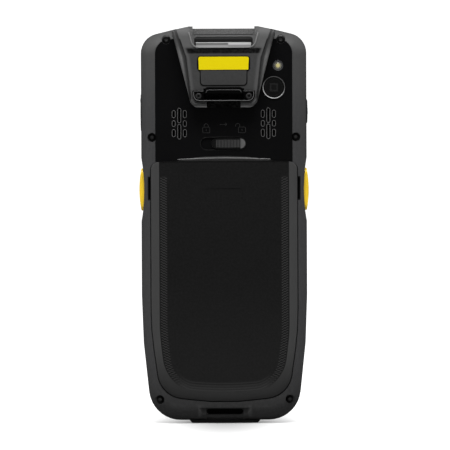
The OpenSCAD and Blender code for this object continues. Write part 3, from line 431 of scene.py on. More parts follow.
def label_finish(name):
    """Blank printed film: a yellow upper part and a narrower grey lower part, both inside a thin dark line."""
    finish = Finish(name)
    low, high = box("label_plate")
    across, _, up = finish.across_depth_up()
    side, split = abs(across), low.z + 6.6
    yellow = up.rise(split - 0.05, split + 0.05)
    upper = outside(side - (high.x - 0.2 - (high.z - up) * 0.04), up - high.z, 0.8)
    lower = outside(side - (high.x - 1.1 - (split - up) * 0.03), low.z + 0.4 - up, 1.3).most(up - split + 0.3)
    keyline = (yellow * upper + (1 - yellow) * lower).rise(-0.03, 0.05)
    faded = finish.mix(0.1 * finish.noise(2.2, 3), colour(231, 211, 0), colour(214, 186, 0))
    shade = finish.coats(colour(56), (finish.noise(1.4, 3), 66), (yellow, faded), (keyline, 8))
    fine = finish.noise(0.35, 2)
    return finish.skin(shade, 0.34 + 0.12 * fine, 0.15, fine, 0.003)


def black_glass(name, shade_of, rough=0.05):
    """Cover glass with a black print behind it, cleaned by hand."""
    finish = Finish(name)
    smear = finish.noise(7, 4, (1, 1, 1.8)).rise(0.5, 0.85)
    return finish.surface({"Base Color": shade_of(finish), "Roughness": rough + 0.05 * smear, "IOR": 1.5,
                           "Coat Weight": 1.0, "Coat Roughness": 0.02})


def board_finish(name):
    """Green solder mask over copper runs, with bare pads."""
    finish = Finish(name)
    across, _, up = finish.across_depth_up()
    bend = finish.cells(9)
    runs = (across + 3 * bend).wave(1.1).rise(0.62, 0.75).most((up + 2 * bend).wave(1.7).rise(0.7, 0.8))
    pads = finish.cells(2.6).rise(0.2, 0.16)
    shade = finish.coats(colour(16, 74, 42), (runs, colour(30, 104, 58)), (pads, colour(196, 160, 84)))
    return finish.skin(shade, 0.34 - 0.08 * pads, 0.5, runs + pads, 0.03, {"Metallic": 0.9 * pads})


def battery_finish(name):
    """Dark printed film over a can, with a bare pale panel and a keyline."""
    finish = Finish(name)
    low, high = box("battery")
    across, _, up = finish.across_depth_up()
    half_width, half_height = 18, 30
    away = (abs(across) - half_width).most(abs(up - middle(low, high)[1]) - half_height)
    shade = finish.coats(colour(34), (away.rise(0.1, -0.1), 150), (0.8 * away.between(1.1, 1.6, 0.1), 196))
    wrinkle = finish.noise(6, 4, (1, 1, 0.4))
    return finish.skin(shade, 0.36 + 0.1 * wrinkle, 0.5, wrinkle, 0.03)


def window_shade(finish):
    """The exit window: a pale bar behind its lower part and dark above, with painted reflections: the bar
    lighter on its right and along its top, and a grey band near the top of the window.
    """
    across, _, up = finish.across_depth_up()
    bar = up.between(SILL_Z - 0.4, SILL_Z + 2.15, 0.2, 0.1) * abs(across).rise(11.4, 11.1)
    # Painted reflections: the bar lighter on its right and along its top, and a grey band near the top of the
    # window.
    left = finish.mix(up.rise(SILL_Z + 1.6, SILL_Z + 0.6), colour(70), colour(136))
    right = finish.mix(up.rise(SILL_Z + 1.4, SILL_Z + 0.8), colour(166), colour(118))
    pale = finish.coats(left, (across.rise(1.6, 2.2), right), (up.rise(SILL_Z + 1.7, SILL_Z + 1.85), 168))
    return finish.coats(colour(1), (up.rise(SILL_Z + 3.1, SILL_Z + 4.05), 50), (bar, pale))


def screen_shade(finish):
    """The front glass: a black border round the sleeping display."""
    low, high = box("display_module")
    across, _, up = finish.across_depth_up()
    border = 1.2
    past = (abs(across) - high.x).most(abs(up - middle(low, high)[1]) - (high.z - low.z) / 2) + border
    return finish.mix(past.rise(0.08, -0.08), colour(8), colour(20, 22, 27))


def cell_shade(finish):
    """The display cell: nearly black, a little uneven."""
    return finish.mix(finish.noise(20), colour(18), colour(22))


def lens_shade(finish):
    """Camera window: black print, and in its clear middle the dim square mouth of the lens."""
    dx, dz, out = finish.about("camera_lens")
    mouth = abs(dx).most(abs(dz))
    return finish.coats(colour(1), (mouth.rise(1.75, 1.55), 30), (mouth.rise(1.15, 0.95), 9),
                        (0.6 * out.between(3.3, 3.52, 0.06), 24))


def bezel_finish(name):
    """Camera ring: a dark ring with a narrow turned edge, whose grey is a painted highlight, brightest below.
    """
    finish = Finish(name)
    low, high = box("camera_bezel")
    radius = (high.x - low.x) / 2
    dx, dz, out = finish.about("camera_bezel")
    edge = out.between(radius - 0.36, radius - 0.04, 0.08, 0.06)
    lit = finish.mix((dz + 0.35 * dx).rise(2, -4.4), colour(84), colour(220))
    fine = finish.noise(0.2, 2)
    return finish.skin(finish.coats(colour(16), (edge, lit)), 0.3 + 0.08 * fine, 0.2, fine, 0.002)


def flash_finish(name):
    """Flash: a pale yellow emitter seen through a ribbed clear lens."""
    finish = Finish(name)
    out = finish.about("flash_lens")[2]
    ribs = out.wave(0.34)
    shade = finish.coats(colour(214, 204, 140), (out.rise(0.55, 1.15), colour(128, 126, 114)),
                         (0.55 * ribs * out.rise(0.7, 1.0), colour(70, 70, 66)))
    return finish.skin(shade, 0.12 + 0.1 * ribs, 0.5, ribs, 0.05, {"Coat Weight": 1.0, "Coat Roughness": 0.04})


def screw_finish(name, node, outer_grey, drive):
    """Blackened screws: one grey on the faces of their heads, another in their sockets. The paler one is a
    painted highlight.
    """
    finish = Finish(name)
    face_y = box(node)[0].y
    sunk = finish.across_depth_up()[1].rise(face_y + 0.16, face_y + 0.34)
    fine = finish.noise(0.3, 3)
    shade = finish.mix(sunk, colour(outer_grey), colour(drive))
    return finish.skin(shade, 0.34 + 0.12 * fine, 0.3, fine, 0.004)


# ---------- Shapes ----------

def rounded(width, height, radius, steps=8):
    """Outline of a rounded rectangle about the origin, as (x, z) points in millimetres."""
    points = []
    for corner in range(4):
        sx, sz = ((1, 1), (-1, 1), (-1, -1), (1, -1))[corner]
        for step in range(steps + 1):
            angle = math.pi / 2 * (corner + step / steps)
            points.append((sx * (width / 2 - radius) + radius * math.cos(angle),
                           sz * (height / 2 - radius) + radius * math.sin(angle)))
    return points


def shape_object(name, shape):
    """A new object with a drafted shape, its faces turned outwards."""
    mesh = bpy.data.meshes.new(name)
    bmesh.ops.recalc_face_normals(shape, faces=shape.faces)
    shape.to_mesh(mesh)
    shape.free()
    return placed(name, mesh)


def add_band(shape, first, second):
    """Adds the faces between two rings of as many points."""
    for i in range(len(first)):
        j = (i + 1) % len(first)
        shape.faces.new((first[i], first[j], second[j], second[i]))


def add_plate(shape, outline, back, front, centre):
    """Adds a flat plate with an outline in the XZ plane between two depths."""
    rings = [[shape.verts.new(Vector((x + centre[0], y, z + centre[1])) * MM) for x, z in outline]
             for y in (back, front)]
    add_band(shape, *rings)
    shape.faces.new(rings[0][::-1])
    shape.faces.new(rings[1])


def lathe(name, profile, centre, count=48, lobes=None):
    """A solid of revolution about -Y: profile points are (radius, height out of the back).
    Lobes (first, last, number, depth) wave the radius of the rings first to last, as in a star socket."""
    cx, y0, cz = centre
    shape, rings = bmesh.new(), []
    for row, (radius, out) in enumerate(profile):
        ring = []
        for i in range(count):
            angle = 2 * math.pi * i / count
            r = radius
            if lobes and lobes[0] <= row <= lobes[1]:
                r *= 1 + lobes[3] * math.cos(lobes[2] * angle)
            at = Vector((cx + r * math.cos(angle), y0 - out, cz + r * math.sin(angle))) * MM
            ring.append(shape.verts.new(at))
        rings.append(ring)
    for low_ring, high_ring in zip(rings, rings[1:]):
        add_band(shape, low_ring, high_ring)
    for ring in (rings[0], rings[-1]):
        shape.faces.new(ring)
    return shape_object(name, shape)


def shade_by_angle(obj, angle=0.75):
    """Smooth faces, with an edge wherever two of them meet at more than the angle."""
    mesh = obj.data
    mesh.polygons.foreach_set("use_smooth", [True] * len(mesh.polygons))
    mesh.set_sharp_from_angle(angle=angle)


def finish_piece(obj, body, material, replaces=()):
    """Gives a new piece its material, the body that it moves with and the slot that names its finish."""
    obj.data.materials.clear()
    obj.data.materials.append(material)
    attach(obj, body)
    if replaces:
        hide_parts(*replaces)
    return obj


# ---------- Geometry Nodes ----------

class Tree:
    """One geometry tree with named inputs."""

    def __init__(self, name, inputs):
        self.group = bpy.data.node_groups.new(name, "GeometryNodeTree")
        new_socket = self.group.interface.new_socket
        self.identifiers = {}
        for label, kind in {"Geometry": "Geometry", **inputs}.items():
            socket = new_socket(label, in_out="INPUT", socket_type="NodeSocket" + kind)
            self.identifiers[label] = socket.identifier
        new_socket("Geometry", in_out="OUTPUT", socket_type="NodeSocketGeometry")
        self.given = self.group.nodes.new("NodeGroupInput")
        self.result = self.group.nodes.new("NodeGroupOutput")

    def node(self, kind, settings=(), sockets=()):
        made = self.group.nodes.new(kind)
        for key, value in dict(settings).items():
            setattr(made, key, value)
        for key, value in dict(sockets).items():
            if isinstance(value, bpy.types.Node):
                value = value.outputs[0]
            if isinstance(value, bpy.types.NodeSocket):
                self.group.links.new(value, made.inputs[key])
            else:
                made.inputs[key].default_value = value
        return made

    def given_socket(self, label):
        return self.given.outputs[label]

    def close(self, node):
        self.group.links.new(node.outputs[0], self.result.inputs[0])
        return self

    def close_realized(self, node):
        """Ends the tree in real meshes with the given finish."""
        real = self.node("GeometryNodeRealizeInstances", {}, {"Geometry": node})
        finished = {"Geometry": real, "Material": self.given_socket("Finish")}
        return self.close(self.node("GeometryNodeSetMaterial", {}, finished))

    def put_on(self, obj, values=()):
        modifier = obj.modifiers.new(self.group.name, "NODES")
        modifier.node_group = self.group
        for label, value in dict(values).items():
            modifier[self.identifiers[label]] = value


def edge_shading_tree():
    """Drops the imported normals and smooths the faces, with an edge where two meet at more than an angle."""
    tree = Tree("edge_shading", {"Crease angle": "Float"})
    plain = tree.node("GeometryNodeRemoveAttribute", {}, {"Geometry": tree.given_socket("Geometry"),
                                                          "Name": "custom_normal"})
    faces = tree.node("GeometryNodeSetShadeSmooth", {"domain": "FACE"}, {"Geometry": plain})
    soft = tree.node("FunctionNodeCompare", {"data_type": "FLOAT", "operation": "LESS_THAN"},
                     {0: tree.node("GeometryNodeInputMeshEdgeAngle"), 1: tree.given_socket("Crease angle")})
    return tree.close(tree.node("GeometryNodeSetShadeSmooth", {"domain": "EDGE"},
                                {"Geometry": faces, "Shade Smooth": soft}))


def bead_tree():
    """A round bead along every edge chain, as on the lips of slots and on raised marks."""
    tree = Tree("bead_along_outline", {"Bead radius": "Float", "Sides": "Int", "Finish": "Material"})
    path = tree.node("GeometryNodeMeshToCurve", {}, {"Mesh": tree.given_socket("Geometry")})
    profile = tree.node("GeometryNodeCurvePrimitiveCircle", {}, {"Resolution": tree.given_socket("Sides"),
                                                                 "Radius": tree.given_socket("Bead radius")})
    swept = {"Curve": path, "Profile Curve": profile, "Fill Caps": True}
    bead = tree.node("GeometryNodeCurveToMesh", {}, swept)
    return tree.close_realized(tree.node("GeometryNodeSetShadeSmooth", {}, {"Geometry": bead}))


def scatter_tree():
    """One fitting set on every point, each turned about its own axis by a seeded random angle."""
    tree = Tree("fittings_on_points", {"Fitting": "Object", "Turn seed": "Int", "Finish": "Material"})
    info = tree.node("GeometryNodeObjectInfo", {}, {"Object": tree.given_socket("Fitting")})
    turn = tree.node("FunctionNodeRandomValue", {"data_type": "FLOAT_VECTOR"},
                     {0: (0, 0, 0), 1: (0, 2 * math.pi, 0), "Seed": tree.given_socket("Turn seed")})
    set_on = {"Points": tree.given_socket("Geometry"), "Instance": info.outputs["Geometry"], "Rotation": turn}
    return tree.close_realized(tree.node("GeometryNodeInstanceOnPoints", {}, set_on))


def grown(name, points, edges, tree, values):
    """Runs a tree over points and edges in millimetres and keeps the result as a plain mesh."""
    mesh = bpy.data.meshes.new(name + "_path")
    mesh.from_pydata([Vector(p) * MM for p in points], edges, [])
    host = placed(name + "_path", mesh)
    tree.put_on(host, values)
    result = bpy.data.meshes.new_from_object(host.evaluated_get(bpy.context.evaluated_depsgraph_get()))
    result.name = name
    bpy.data.objects.remove(host)
    return placed(name, result)


def open_line(points):
    """Points in space, with the edges that join each to the next."""
    return points, [(i, i + 1) for i in range(len(points) - 1)]


def flat_line(outline, y, centre=(0, 0)):
    """An open line of (x, z) points at one depth."""
    return open_line([(x + centre[0], y, z + centre[1]) for x, z in outline])


def flat_loop(outline, y, centre=(0, 0)):
    """A closed line of (x, z) points at one depth."""
    points, edges = flat_line(outline, y, centre)
    return points, edges + [(len(points) - 1, 0)]


def gather(lines):
    """Several lines as one set of points and edges."""
    points, edges = [], []
    for more_points, more_edges in lines:
        edges += [(a + len(points), b + len(points)) for a, b in more_edges]
        points += more_points
    return points, edges


EDGE_SHADING, BEAD, SCATTER = edge_shading_tree(), bead_tree(), scatter_tree()

# ---------- Finishes ----------

grey_casing = grained_plastic("grained_grey_casing", colour(44), 0.5)
black_casing = grained_plastic("grained_black_casing", colour(24, 24, 25), 0.48)
back_panel_black = satin_plastic("satin_back_panel", colour(11, 11, 12), 0.42, 0.1)
bracket_black = satin_plastic("bracket_black", colour(5), 0.4, 0.08)
hood_grey = hood_finish("grained_hood_grey")
rear_grey = housing_finish("grained_rear_grey")
latch_plastic = latch_finish("pale_ended_latch")
trigger_yellow = satin_plastic("trigger_yellow", colour(255, 214, 46), 0.34, 0.45)
key_black = satin_plastic("key_silicone", colour(36, 37, 39), 0.5)
soft_cover = cover_finish("soft_touch_cover")
label_film = label_finish("blank_label_film")
black_zinc = plated_metal("black_zinc", colour(24), 0.34)
bright_steel = plated_metal("bright_steel", colour(196, 198, 202), 0.2, (1, 1, 8))
socket_steel = plated_metal("pressed_steel", colour(186, 186, 184), 0.3, (8, 1, 1))
gold_plate = plated_metal("gold_plate", colour(226, 186, 96), 0.18)
solder_mask = board_finish("solder_mask")
seal_rubber = rubber("seal_rubber", colour(28))
keypad_rubber = rubber("keypad_rubber", colour(40), 0.6)
moulded_black = satin_plastic("moulded_black", colour(18), 0.45)
white_print = satin_plastic("legend_print", colour(226, 228, 230), 0.5)
mark_grey = satin_plastic("raised_mark", colour(58), 0.4)
latch_rib_highlight = satin_plastic("latch_rib", colour(72), 0.4)
faint_mark = satin_plastic("faint_mark", colour(34), 0.4)
edge_light = satin_plastic("lip_crest_highlight", colour(150), 0.4)
bracket_highlight_grey = satin_plastic("bracket_edge_highlight", colour(98), 0.4)
slot_lip_highlight = satin_plastic("slot_lip", colour(96), 0.35)
window_lip_highlight = lip_finish("window_lip")
mesh_black = satin_plastic("mesh_black", colour(5), 0.6, 0.05)
battery_film = battery_finish("battery_film")
window_glass = black_glass("exit_window_glass", window_shade)
screen_glass = black_glass("front_glass", screen_shade, 0.03)
display_cell = black_glass("display_cell", cell_shade, 0.1)
camera_glass = black_glass("camera_window", lens_shade, 0.03)
turned_bezel = bezel_finish("turned_bezel")

CAD_FINISH = {
    "rear_housing": rear_grey, "scanner_housing": hood_grey, "tail_shoe": grey_casing,
    "back_panel": back_panel_black, "front_housing": black_casing, "battery_cover": soft_cover,
    "strap_bracket": bracket_black, "latch_knob": latch_plastic, "label_plate": label_film,
    "trigger_left": trigger_yellow, "trigger_right": trigger_yellow, "scan_key": trigger_yellow,
    "volume_key": key_black, "power_key": key_black, "scanner_window": window_glass,
    "touch_glass": screen_glass, "display_module": display_cell, "camera_bezel": turned_bezel,
    "camera_lens": camera_glass, "vibration_motor": bright_steel, "card_socket": socket_steel,
    "latch_bolt": socket_steel, "cover_keeper": socket_steel, "battery_contacts": gold_plate,
    "dock_pins": gold_plate, "main_board": solder_mask, "keypad_board": solder_mask, "battery": battery_film,
    "speaker_mesh": mesh_black, "earpiece_mesh": mesh_black, "keypad_mat": keypad_rubber,
    "housing_gasket": seal_rubber, "cover_seal": seal_rubber,
}
# Edge rounding of the nodes that show. The keys of the keypad get KEY_EDGE and the rest the least.
EDGE = {"rear_housing": 0.18, "tail_shoe": 0.15, "scanner_housing": 0.22, "back_panel": 0.15,
        "front_housing": 0.18, "battery_cover": 0.15, "strap_bracket": 0.15, "latch_knob": 0.1,
        "trigger_left": 0.35, "trigger_right": 0.35, "volume_key": 0.3, "power_key": 0.3, "touch_glass": 0.1,
        "label_plate": 0.04, "camera_bezel": 0.08}
KEY_EDGE, LEAST_EDGE = 0.25, 0.05
# Nodes whose curved sides are narrow strips, which would be merged with their neighbours at a wider angle
LOFTED = ("rear_housing", "front_housing", "scanner_housing", "battery_cover")


def dress(node):
    """Material, merged flat faces, rounded edges and shading of a node whose shape is right."""
    obj = NODES[node]
    on_keypad = node == "scan_key" or node.startswith("key_")
    material = CAD_FINISH.get(node, key_black if on_keypad else moulded_black)
    if not obj.data.materials:
        obj.data.materials.append(material)
    for i in range(len(obj.data.materials)):
        obj.data.materials[i] = material
    weld = obj.modifiers.new("merge", "WELD")
    weld.merge_threshold = 1e-6
    flat = obj.modifiers.new("flat_faces", "DECIMATE")
    flat.decimate_type, flat.angle_limit = "DISSOLVE", 0.0005 if node in LOFTED else 0.01
    bevel = obj.modifiers.new("edge", "BEVEL")
    bevel.limit_method, bevel.angle_limit = "ANGLE", 0.6
    bevel.width, bevel.segments = EDGE.get(node, KEY_EDGE if on_keypad else LEAST_EDGE) * MM, 2
    EDGE_SHADING.put_on(obj, {"Crease angle": 0.75})
    weighted = obj.modifiers.new("flat_faces_lead", "WEIGHTED_NORMAL")
    weighted.keep_sharp = True


for name in NODES:
    dress(name)

# ---------- Screws ----------

def star_screw(name, head_r, head_h, shank_r, shank_l):
    """One screw about the origin, head towards -Y: a shallow dome with a six-lobed socket."""
    socket = head_r * 0.42
    profile = [(0.01, head_h * 0.35), (socket * 0.7, head_h * 0.35), (socket, head_h * 0.45),
               (socket, head_h * 0.98), (socket * 1.12, head_h), (head_r * 0.8, head_h * 0.9),
               (head_r, head_h * 0.6), (head_r, 0), (shank_r, 0), (shank_r, -shank_l), (0.01, -shank_l)]
    made = lathe(name, profile, (0, 0, 0), lobes=(1, 4, 6, 0.16))
    shade_by_angle(made, 0.6)
    return made


def screw_set(name, node, seed, material):
    """Screws in place of a node of plain shanks, with the same heads and lengths."""
    found = islands(node)
    low, high = found[0]
    head_r = max(high.x - low.x, high.z - low.z) / 2
    head_h = 0.8 if head_r < 1.7 else 1.3
    fitting = star_screw(name + "_pattern", head_r, head_h, head_r * 0.55, high.y - low.y - head_h)
    points = []
    for low, high in found:
        x, z = middle(low, high)
        points.append((x, low.y + head_h, z))
    made = grown(name, points, [], SCATTER, {"Fitting": fitting, "Turn seed": seed, "Finish": material})
    bpy.data.objects.remove(fitting)
    return finish_piece(made, BODY_OF[node], material, (node,))


# Painted light: pale sockets in the housing's screws, and paler faces in the bracket's screws.
screw_set("housing_star_screws", "housing_screws", 3, screw_finish("dark_screw", "housing_screws", 9, 74))
screw_set("bracket_star_screws", "strap_bracket_screws", 5,
          screw_finish("face_highlight_screw", "strap_bracket_screws", 44, 10))
screw_set("board_star_screws", "board_screws", 8, black_zinc)

# ---------- Flash ----------

flash_low, flash_high = box("flash_lens")
flash_x, flash_z = middle(flash_low, flash_high)
flash_r, flash_depth = (flash_high.x - flash_low.x) / 2, flash_high.y - flash_low.y
ring_profile = [(flash_r * 0.76, 0.0), (flash_r * 0.78, 0.16), (flash_r * 0.87, 0.2), (flash_r, 0.12),
                (flash_r, 0.0)]
ring = lathe("flash_ring", ring_profile, (flash_x, flash_low.y + 0.2, flash_z), 64)
shade_by_angle(ring, 0.8)
finish_piece(ring, "casing", bright_steel)
dome_profile = [(0.01, -flash_depth), (flash_r * 0.74, -flash_depth), (flash_r * 0.74, -0.05),
                (flash_r * 0.6, 0.03), (flash_r * 0.3, 0.1), (0.01, 0.12)]
dome = lathe("flash_dome", dome_profile, (flash_x, flash_low.y + 0.13, flash_z), 64)
shade_by_angle(dome, 0.8)
finish_piece(dome, "casing", flash_finish("ribbed_flash_lens"), ("flash_lens",))

# ---------- Lips and marks ----------


def rim_loops(node, depth):
    """Outlines of the openings in a node's flat back face at a depth, as lists of (x, z) in millimetres."""
    shape = bmesh.new()
    shape.from_mesh(NODES[node].data)
    bmesh.ops.remove_doubles(shape, verts=shape.verts, dist=1e-6)
    shape.verts.index_update()
    flat = {f for f in shape.faces if all(abs(v.co.y / MM - depth) < 0.02 for v in f.verts)}
    beside = {}
    for edge in shape.edges:
        if sum(f in flat for f in edge.link_faces) == 1:
            first, second = edge.verts
            for a, b in ((first, second), (second, first)):
                beside.setdefault(a.index, (a, []))[1].append(b.index)
    loops, left = [], set(beside)
    while left:
        at = min(left)
        loop = []
        while at in left:
            left.discard(at)
            loop.append((beside[at][0].co.x / MM, beside[at][0].co.z / MM))
            at = next((other for other in beside[at][1] if other in left), at)
        loops.append(loop)
    shape.free()
    return loops


def extent(loop):
    """Middle height, width and height of an outline."""
    xs, zs = zip(*loop)
    return (min(zs) + max(zs)) / 2, max(xs) - min(xs), max(zs) - min(zs)


def beaded(name, lines, radius, material, body, sides=6):
    """A bead along lines, as one piece."""
    made = grown(name, *gather(lines), BEAD, {"Bead radius": radius * MM, "Sides": sides, "Finish": material})
    return finish_piece(made, body, material)


panel_y = box("back_panel")[0].y
lip_y = panel_y - 0.02
# Of the panel's openings, the grille slots are narrow, and the latch's recess is wide and below the camera
openings = [(loop, *extent(loop)) for loop in rim_loops("back_panel", panel_y)]
slots = [loop for loop, z, width, height in openings if width < 2 and height < 8]
# The lips of the grille slots are pale beads as painted highlights.
beaded("grille_lips", [flat_loop(loop, lip_y) for loop in slots], 0.12, slot_lip_highlight, "casing")
bays = [loop for loop, z, width, height in openings if 12 < width < 24 and height < 8 and z < 120]
if bays:
    beaded("latch_recess_lip", [flat_loop(loop, lip_y) for loop in bays], 0.09, faint_mark, "casing")


def laid_on(node, points, missed):
    """Points (x, z) laid on the back of a node, as (x, y, z). A point past the node takes a given depth."""
    mesh = NODES[node].data
    tree = BVHTree.FromPolygons([v.co for v in mesh.vertices], [p.vertices for p in mesh.polygons])
    laid = []
    for x, z in points:
        hit = tree.ray_cast(Vector((x * MM, -0.1, z * MM)), Vector((0, 1, 0)))[0]
        laid.append((x, hit.y / MM if hit else missed, z))
    return laid


# Rim of the window, a U that runs down the inner edges of the horns and along the sill, as (x, height above it)
horn_foot = 3.1
half_rim = [(14.2, 6.3), (13.9, 5.3), (13.6, 4.3), (13.35, 3.3), (13.1, 2.4), (12.8, 1.6), (12.4, 1),
            (11.8, 0.6), (11, 0.2), (10, 0.02), (8, 0), (4, 0)]
half_rim = [(x, SILL_Z + rise) for x, rise in half_rim]
rim_line = [(-x, z) for x, z in half_rim] + [(0, SILL_Z)] + half_rim[::-1]
rim_points = [(x, y if z > SILL_Z + horn_foot else min(y, SILL_Y), z)
              for x, y, z in laid_on("scanner_housing", rim_line, SILL_Y)]
# The rim is pale as a painted highlight, with painted shadow under its sill.
beaded("window_rim", [open_line(rim_points)], 0.32, window_lip_highlight, "casing", 10)

# Crest of the cover's finger lip: a pale bead as a painted highlight
lip_half, lip_z, lip_bow = 19, 108.2, 0.55
crest = [(x, lip_z + lip_bow * (1 - (x / lip_half) ** 2)) for x in range(-lip_half, lip_half + 1)]
beaded("cover_lip_crest", [open_line(laid_on("battery_cover", crest, panel_y))], 0.11, edge_light, "cover")

# Ribs across the latch, shorter towards its round end; their pale grey is a painted highlight on their crests
knob_low, knob_high = box("latch_knob")
knob_z, knob_half = (knob_low.z + knob_high.z) / 2, (knob_high.z - knob_low.z) / 2
rib_pitch, rib_width, rib_height = 0.6, 0.3, 0.1
ribs = bmesh.new()
for i in range(17):
    x = knob_low.x + 2.1 + rib_pitch * i
    into_round = max(0, knob_low.x + knob_half - x)
    chord = math.sqrt(max(0.2, (knob_half - 0.35) ** 2 - into_round ** 2))
    outline = rounded(rib_width, 2 * min(knob_half - 0.45, chord), 0.14, 3)
    add_plate(ribs, outline, knob_low.y + rib_height, knob_low.y - rib_height, (x, knob_z))
latch_ribs = shape_object("latch_ribs", ribs)
shade_by_angle(latch_ribs)
finish_piece(latch_ribs, "latch", latch_rib_highlight)

# Pale beads on the strap bracket as painted highlights: along its rounded outline, the tops of its ears and the
# crest of its bar
bracket_low = box("strap_bracket")[0]
ear_y, ear_z = bracket_low.y + 0.5, bracket_low.z + 4.3


def bracket_line(half, y):
    """A line across the bracket from its right half, as (x, height above the bracket's foot)."""
    right = [(x, bracket_low.z + rise) for x, rise in half]
    return flat_line([(-x, z) for x, z in right] + right[::-1], y)


half_outline = [(12.3, 4.0), (12.2, 2.6), (12.05, 1.9), (11.7, 1.2), (11.1, 0.7), (10.4, 0.5), (9.5, 0.45)]
half_crest = [(7.1, 3.8), (7.0, 4.35), (6.6, 4.7), (6.0, 4.8)]
ear_tops = [flat_line([(side * 12.2, ear_z), (side * 8.2, ear_z)], ear_y) for side in (-1, 1)]
beaded("bracket_outline", [bracket_line(half_outline, ear_y)], 0.13, bracket_highlight_grey, "casing", 8)
beaded("bracket_edges", [bracket_line(half_crest, bracket_low.y)] + ear_tops, 0.09, bracket_highlight_grey, "casing",
       8)


def ring_line(radius, steps=28, first=0.0, last=360.0, centre=(0, 0)):
    """Points of an arc, in degrees from +X towards +Z."""
    angles = [math.radians(first + (last - first) * i / steps) for i in range(steps + 1)]
    return [(centre[0] + radius * math.cos(a), centre[1] + radius * math.sin(a)) for a in angles]


# Signs above the latch, as lines in millimetres about their own centres
signs_z = knob_z + 6.3
lock_body = [(x, z - 0.75) for x, z in rounded(2.9, 2.3, 0.4, 2)]
lock_body, keyhole = lock_body + lock_body[:1], [(0, -0.35), (0, -1.1)]
shut_bow = [(-0.85, 0.4)] + ring_line(0.85, 10, 180, 0, (0, 0.95)) + [(0.85, 0.4)]
open_bow = [(-0.85, 0.4)] + ring_line(0.85, 10, 0, 180, (-1.7, 1.05)) + [(-2.55, 0.6)]
arrow = [[(-1.9, 0), (1.9, 0)], [(1.0, 0.9), (1.9, 0), (1.0, -0.9)]]
for name, lines, at, size in (("closed_padlock_mark", [lock_body, shut_bow, keyhole], (-7.2, signs_z), 1.0),
                              ("slide_arrow_mark", arrow, (-0.2, signs_z + 1.5), 0.75),
                              ("open_padlock_mark", [lock_body, open_bow, keyhole], (7.4, signs_z), 1.0)):
    drawn = [flat_line([(x * size, z * size) for x, z in line], panel_y, at) for line in lines]
    beaded(name, drawn, 0.09, mark_grey, "casing")

# Rims of the screw holes: pale beads as painted highlights
screw_rims = []
for low, high in islands("housing_screws"):
    rim_r = max(high.x - low.x, high.z - low.z) / 2 - 0.02
    screw_rims.append(flat_loop(ring_line(rim_r, 36)[:-1], low.y + 0.45, middle(low, high)))
beaded("screw_rims", screw_rims, 0.09, mark_grey, "casing")

# ---------- Key legends ----------

LEGEND_DEPTH = 0.05


def legend_place(node, shift):
    """Where a legend goes on a key, as (x, z). Its shift is right and up for someone who faces the keys."""
    x, z = middle(*box(node))
    return x - shift[0], z + shift[1]


def text_legend(name, text, height, node, shift):
    """Print on the front of a key, which faces +Y. It is made in its own XY plane and then turned."""
    data = bpy.data.curves.new(name, "FONT")
    data.body, data.size, data.extrude = text, height * MM, LEGEND_DEPTH * MM
    data.align_x, data.align_y, data.resolution_u = "CENTER", "CENTER", 4
    draft = placed(name, data)
    mesh = bpy.data.meshes.new_from_object(draft.evaluated_get(bpy.context.evaluated_depsgraph_get()))
    bpy.data.objects.remove(draft)
    x, z = legend_place(node, shift)
    face_y = box(node)[1].y
    for vert in mesh.vertices:
        across, along, out = vert.co
        vert.co = Vector((x * MM - across, face_y * MM + out, z * MM + along))
    return finish_piece(placed(name, mesh), BODY_OF[node], white_print)


def drawn_legend(name, lines, node, material=white_print):
    """A sign drawn in round lines, half sunk in the front of a key."""
    face_y, centre = box(node)[1].y, legend_place(node, (0, 0))
    drawn = [flat_line([(-x, z) for x, z in line], face_y, centre) for line in lines]
    return beaded(name, drawn, 0.14, material, BODY_OF[node])


for digit in "1234567890":
    text_legend("digit_" + digit, digit, 4.6, "key_" + digit, (-2.6, 0.2))
for digit, letters in zip("23456789", ("ABC", "DEF", "GHI", "JKL", "MNO", "PQRS", "TUV", "WXYZ")):
    text_legend("letters_" + digit, letters, 2.3, "key_" + digit, (2.4, 0))
text_legend("digit_star", "*", 5.4, "key_star", (0, -0.9))
text_legend("digit_hash", "#", 4.4, "key_hash", (0, 0.1))
drawn_legend("menu_bars", [[(-1.5, z), (1.5, z)] for z in (-1.1, 0, 1.1)], "key_menu")
roof, walls = [(-1.8, -0.1), (0, 1.5), (1.8, -0.1)], [(-1.2, 0.2), (-1.2, -1.5), (1.2, -1.5), (1.2, 0.2)]
drawn_legend("home_outline", [roof, walls], "key_home")
turned_back = [(-1.6, 0.5), (0.7, 0.5), (1.5, -0.1), (1.5, -0.9), (0.7, -1.5), (-0.9, -1.5)]
drawn_legend("back_arrow", [[(-0.5, 1.5), (-1.6, 0.5), (-0.5, -0.5)], turned_back], "key_back")
enter_stem, enter_head = [(1.5, 1.3), (1.5, -0.5), (-1.5, -0.5)], [(-0.7, 0.3), (-1.5, -0.5), (-0.7, -1.3)]
drawn_legend("enter_arrow", [enter_stem, enter_head], "key_enter")
bars = [[(x, -1.5), (x, 1.5)] for x in (-2.4, -1.5, -0.9, 0.1, 1.0, 1.6, 2.4)]
drawn_legend("scan_bars", bars, "scan_key", key_black)


def side_mark(name, node, lines):
    """A raised sign on the outer face of a key in one of the side rails, as (forward, up) points."""
    low, high = box(node)
    x, forward = (low.x, -1) if low.x < 0 else (high.x, 1)
    y, z = (low.y + high.y) / 2, middle(low, high)[1]
    drawn = [open_line([(x, y + forward * u, z + v) for u, v in line]) for line in lines]
    return beaded(name, drawn, 0.12, white_print, BODY_OF[node])


side_mark("volume_signs", "volume_key", [[(-0.8, 5), (0.8, 5)], [(0, 4.2), (0, 5.8)], [(-0.8, -5), (0.8, -5)]])
side_mark("power_sign", "power_key", [ring_line(0.95, 20, 125, 415), [(0, 0.35), (0, 1.25)]])

# ---------- Ground, light and camera ----------

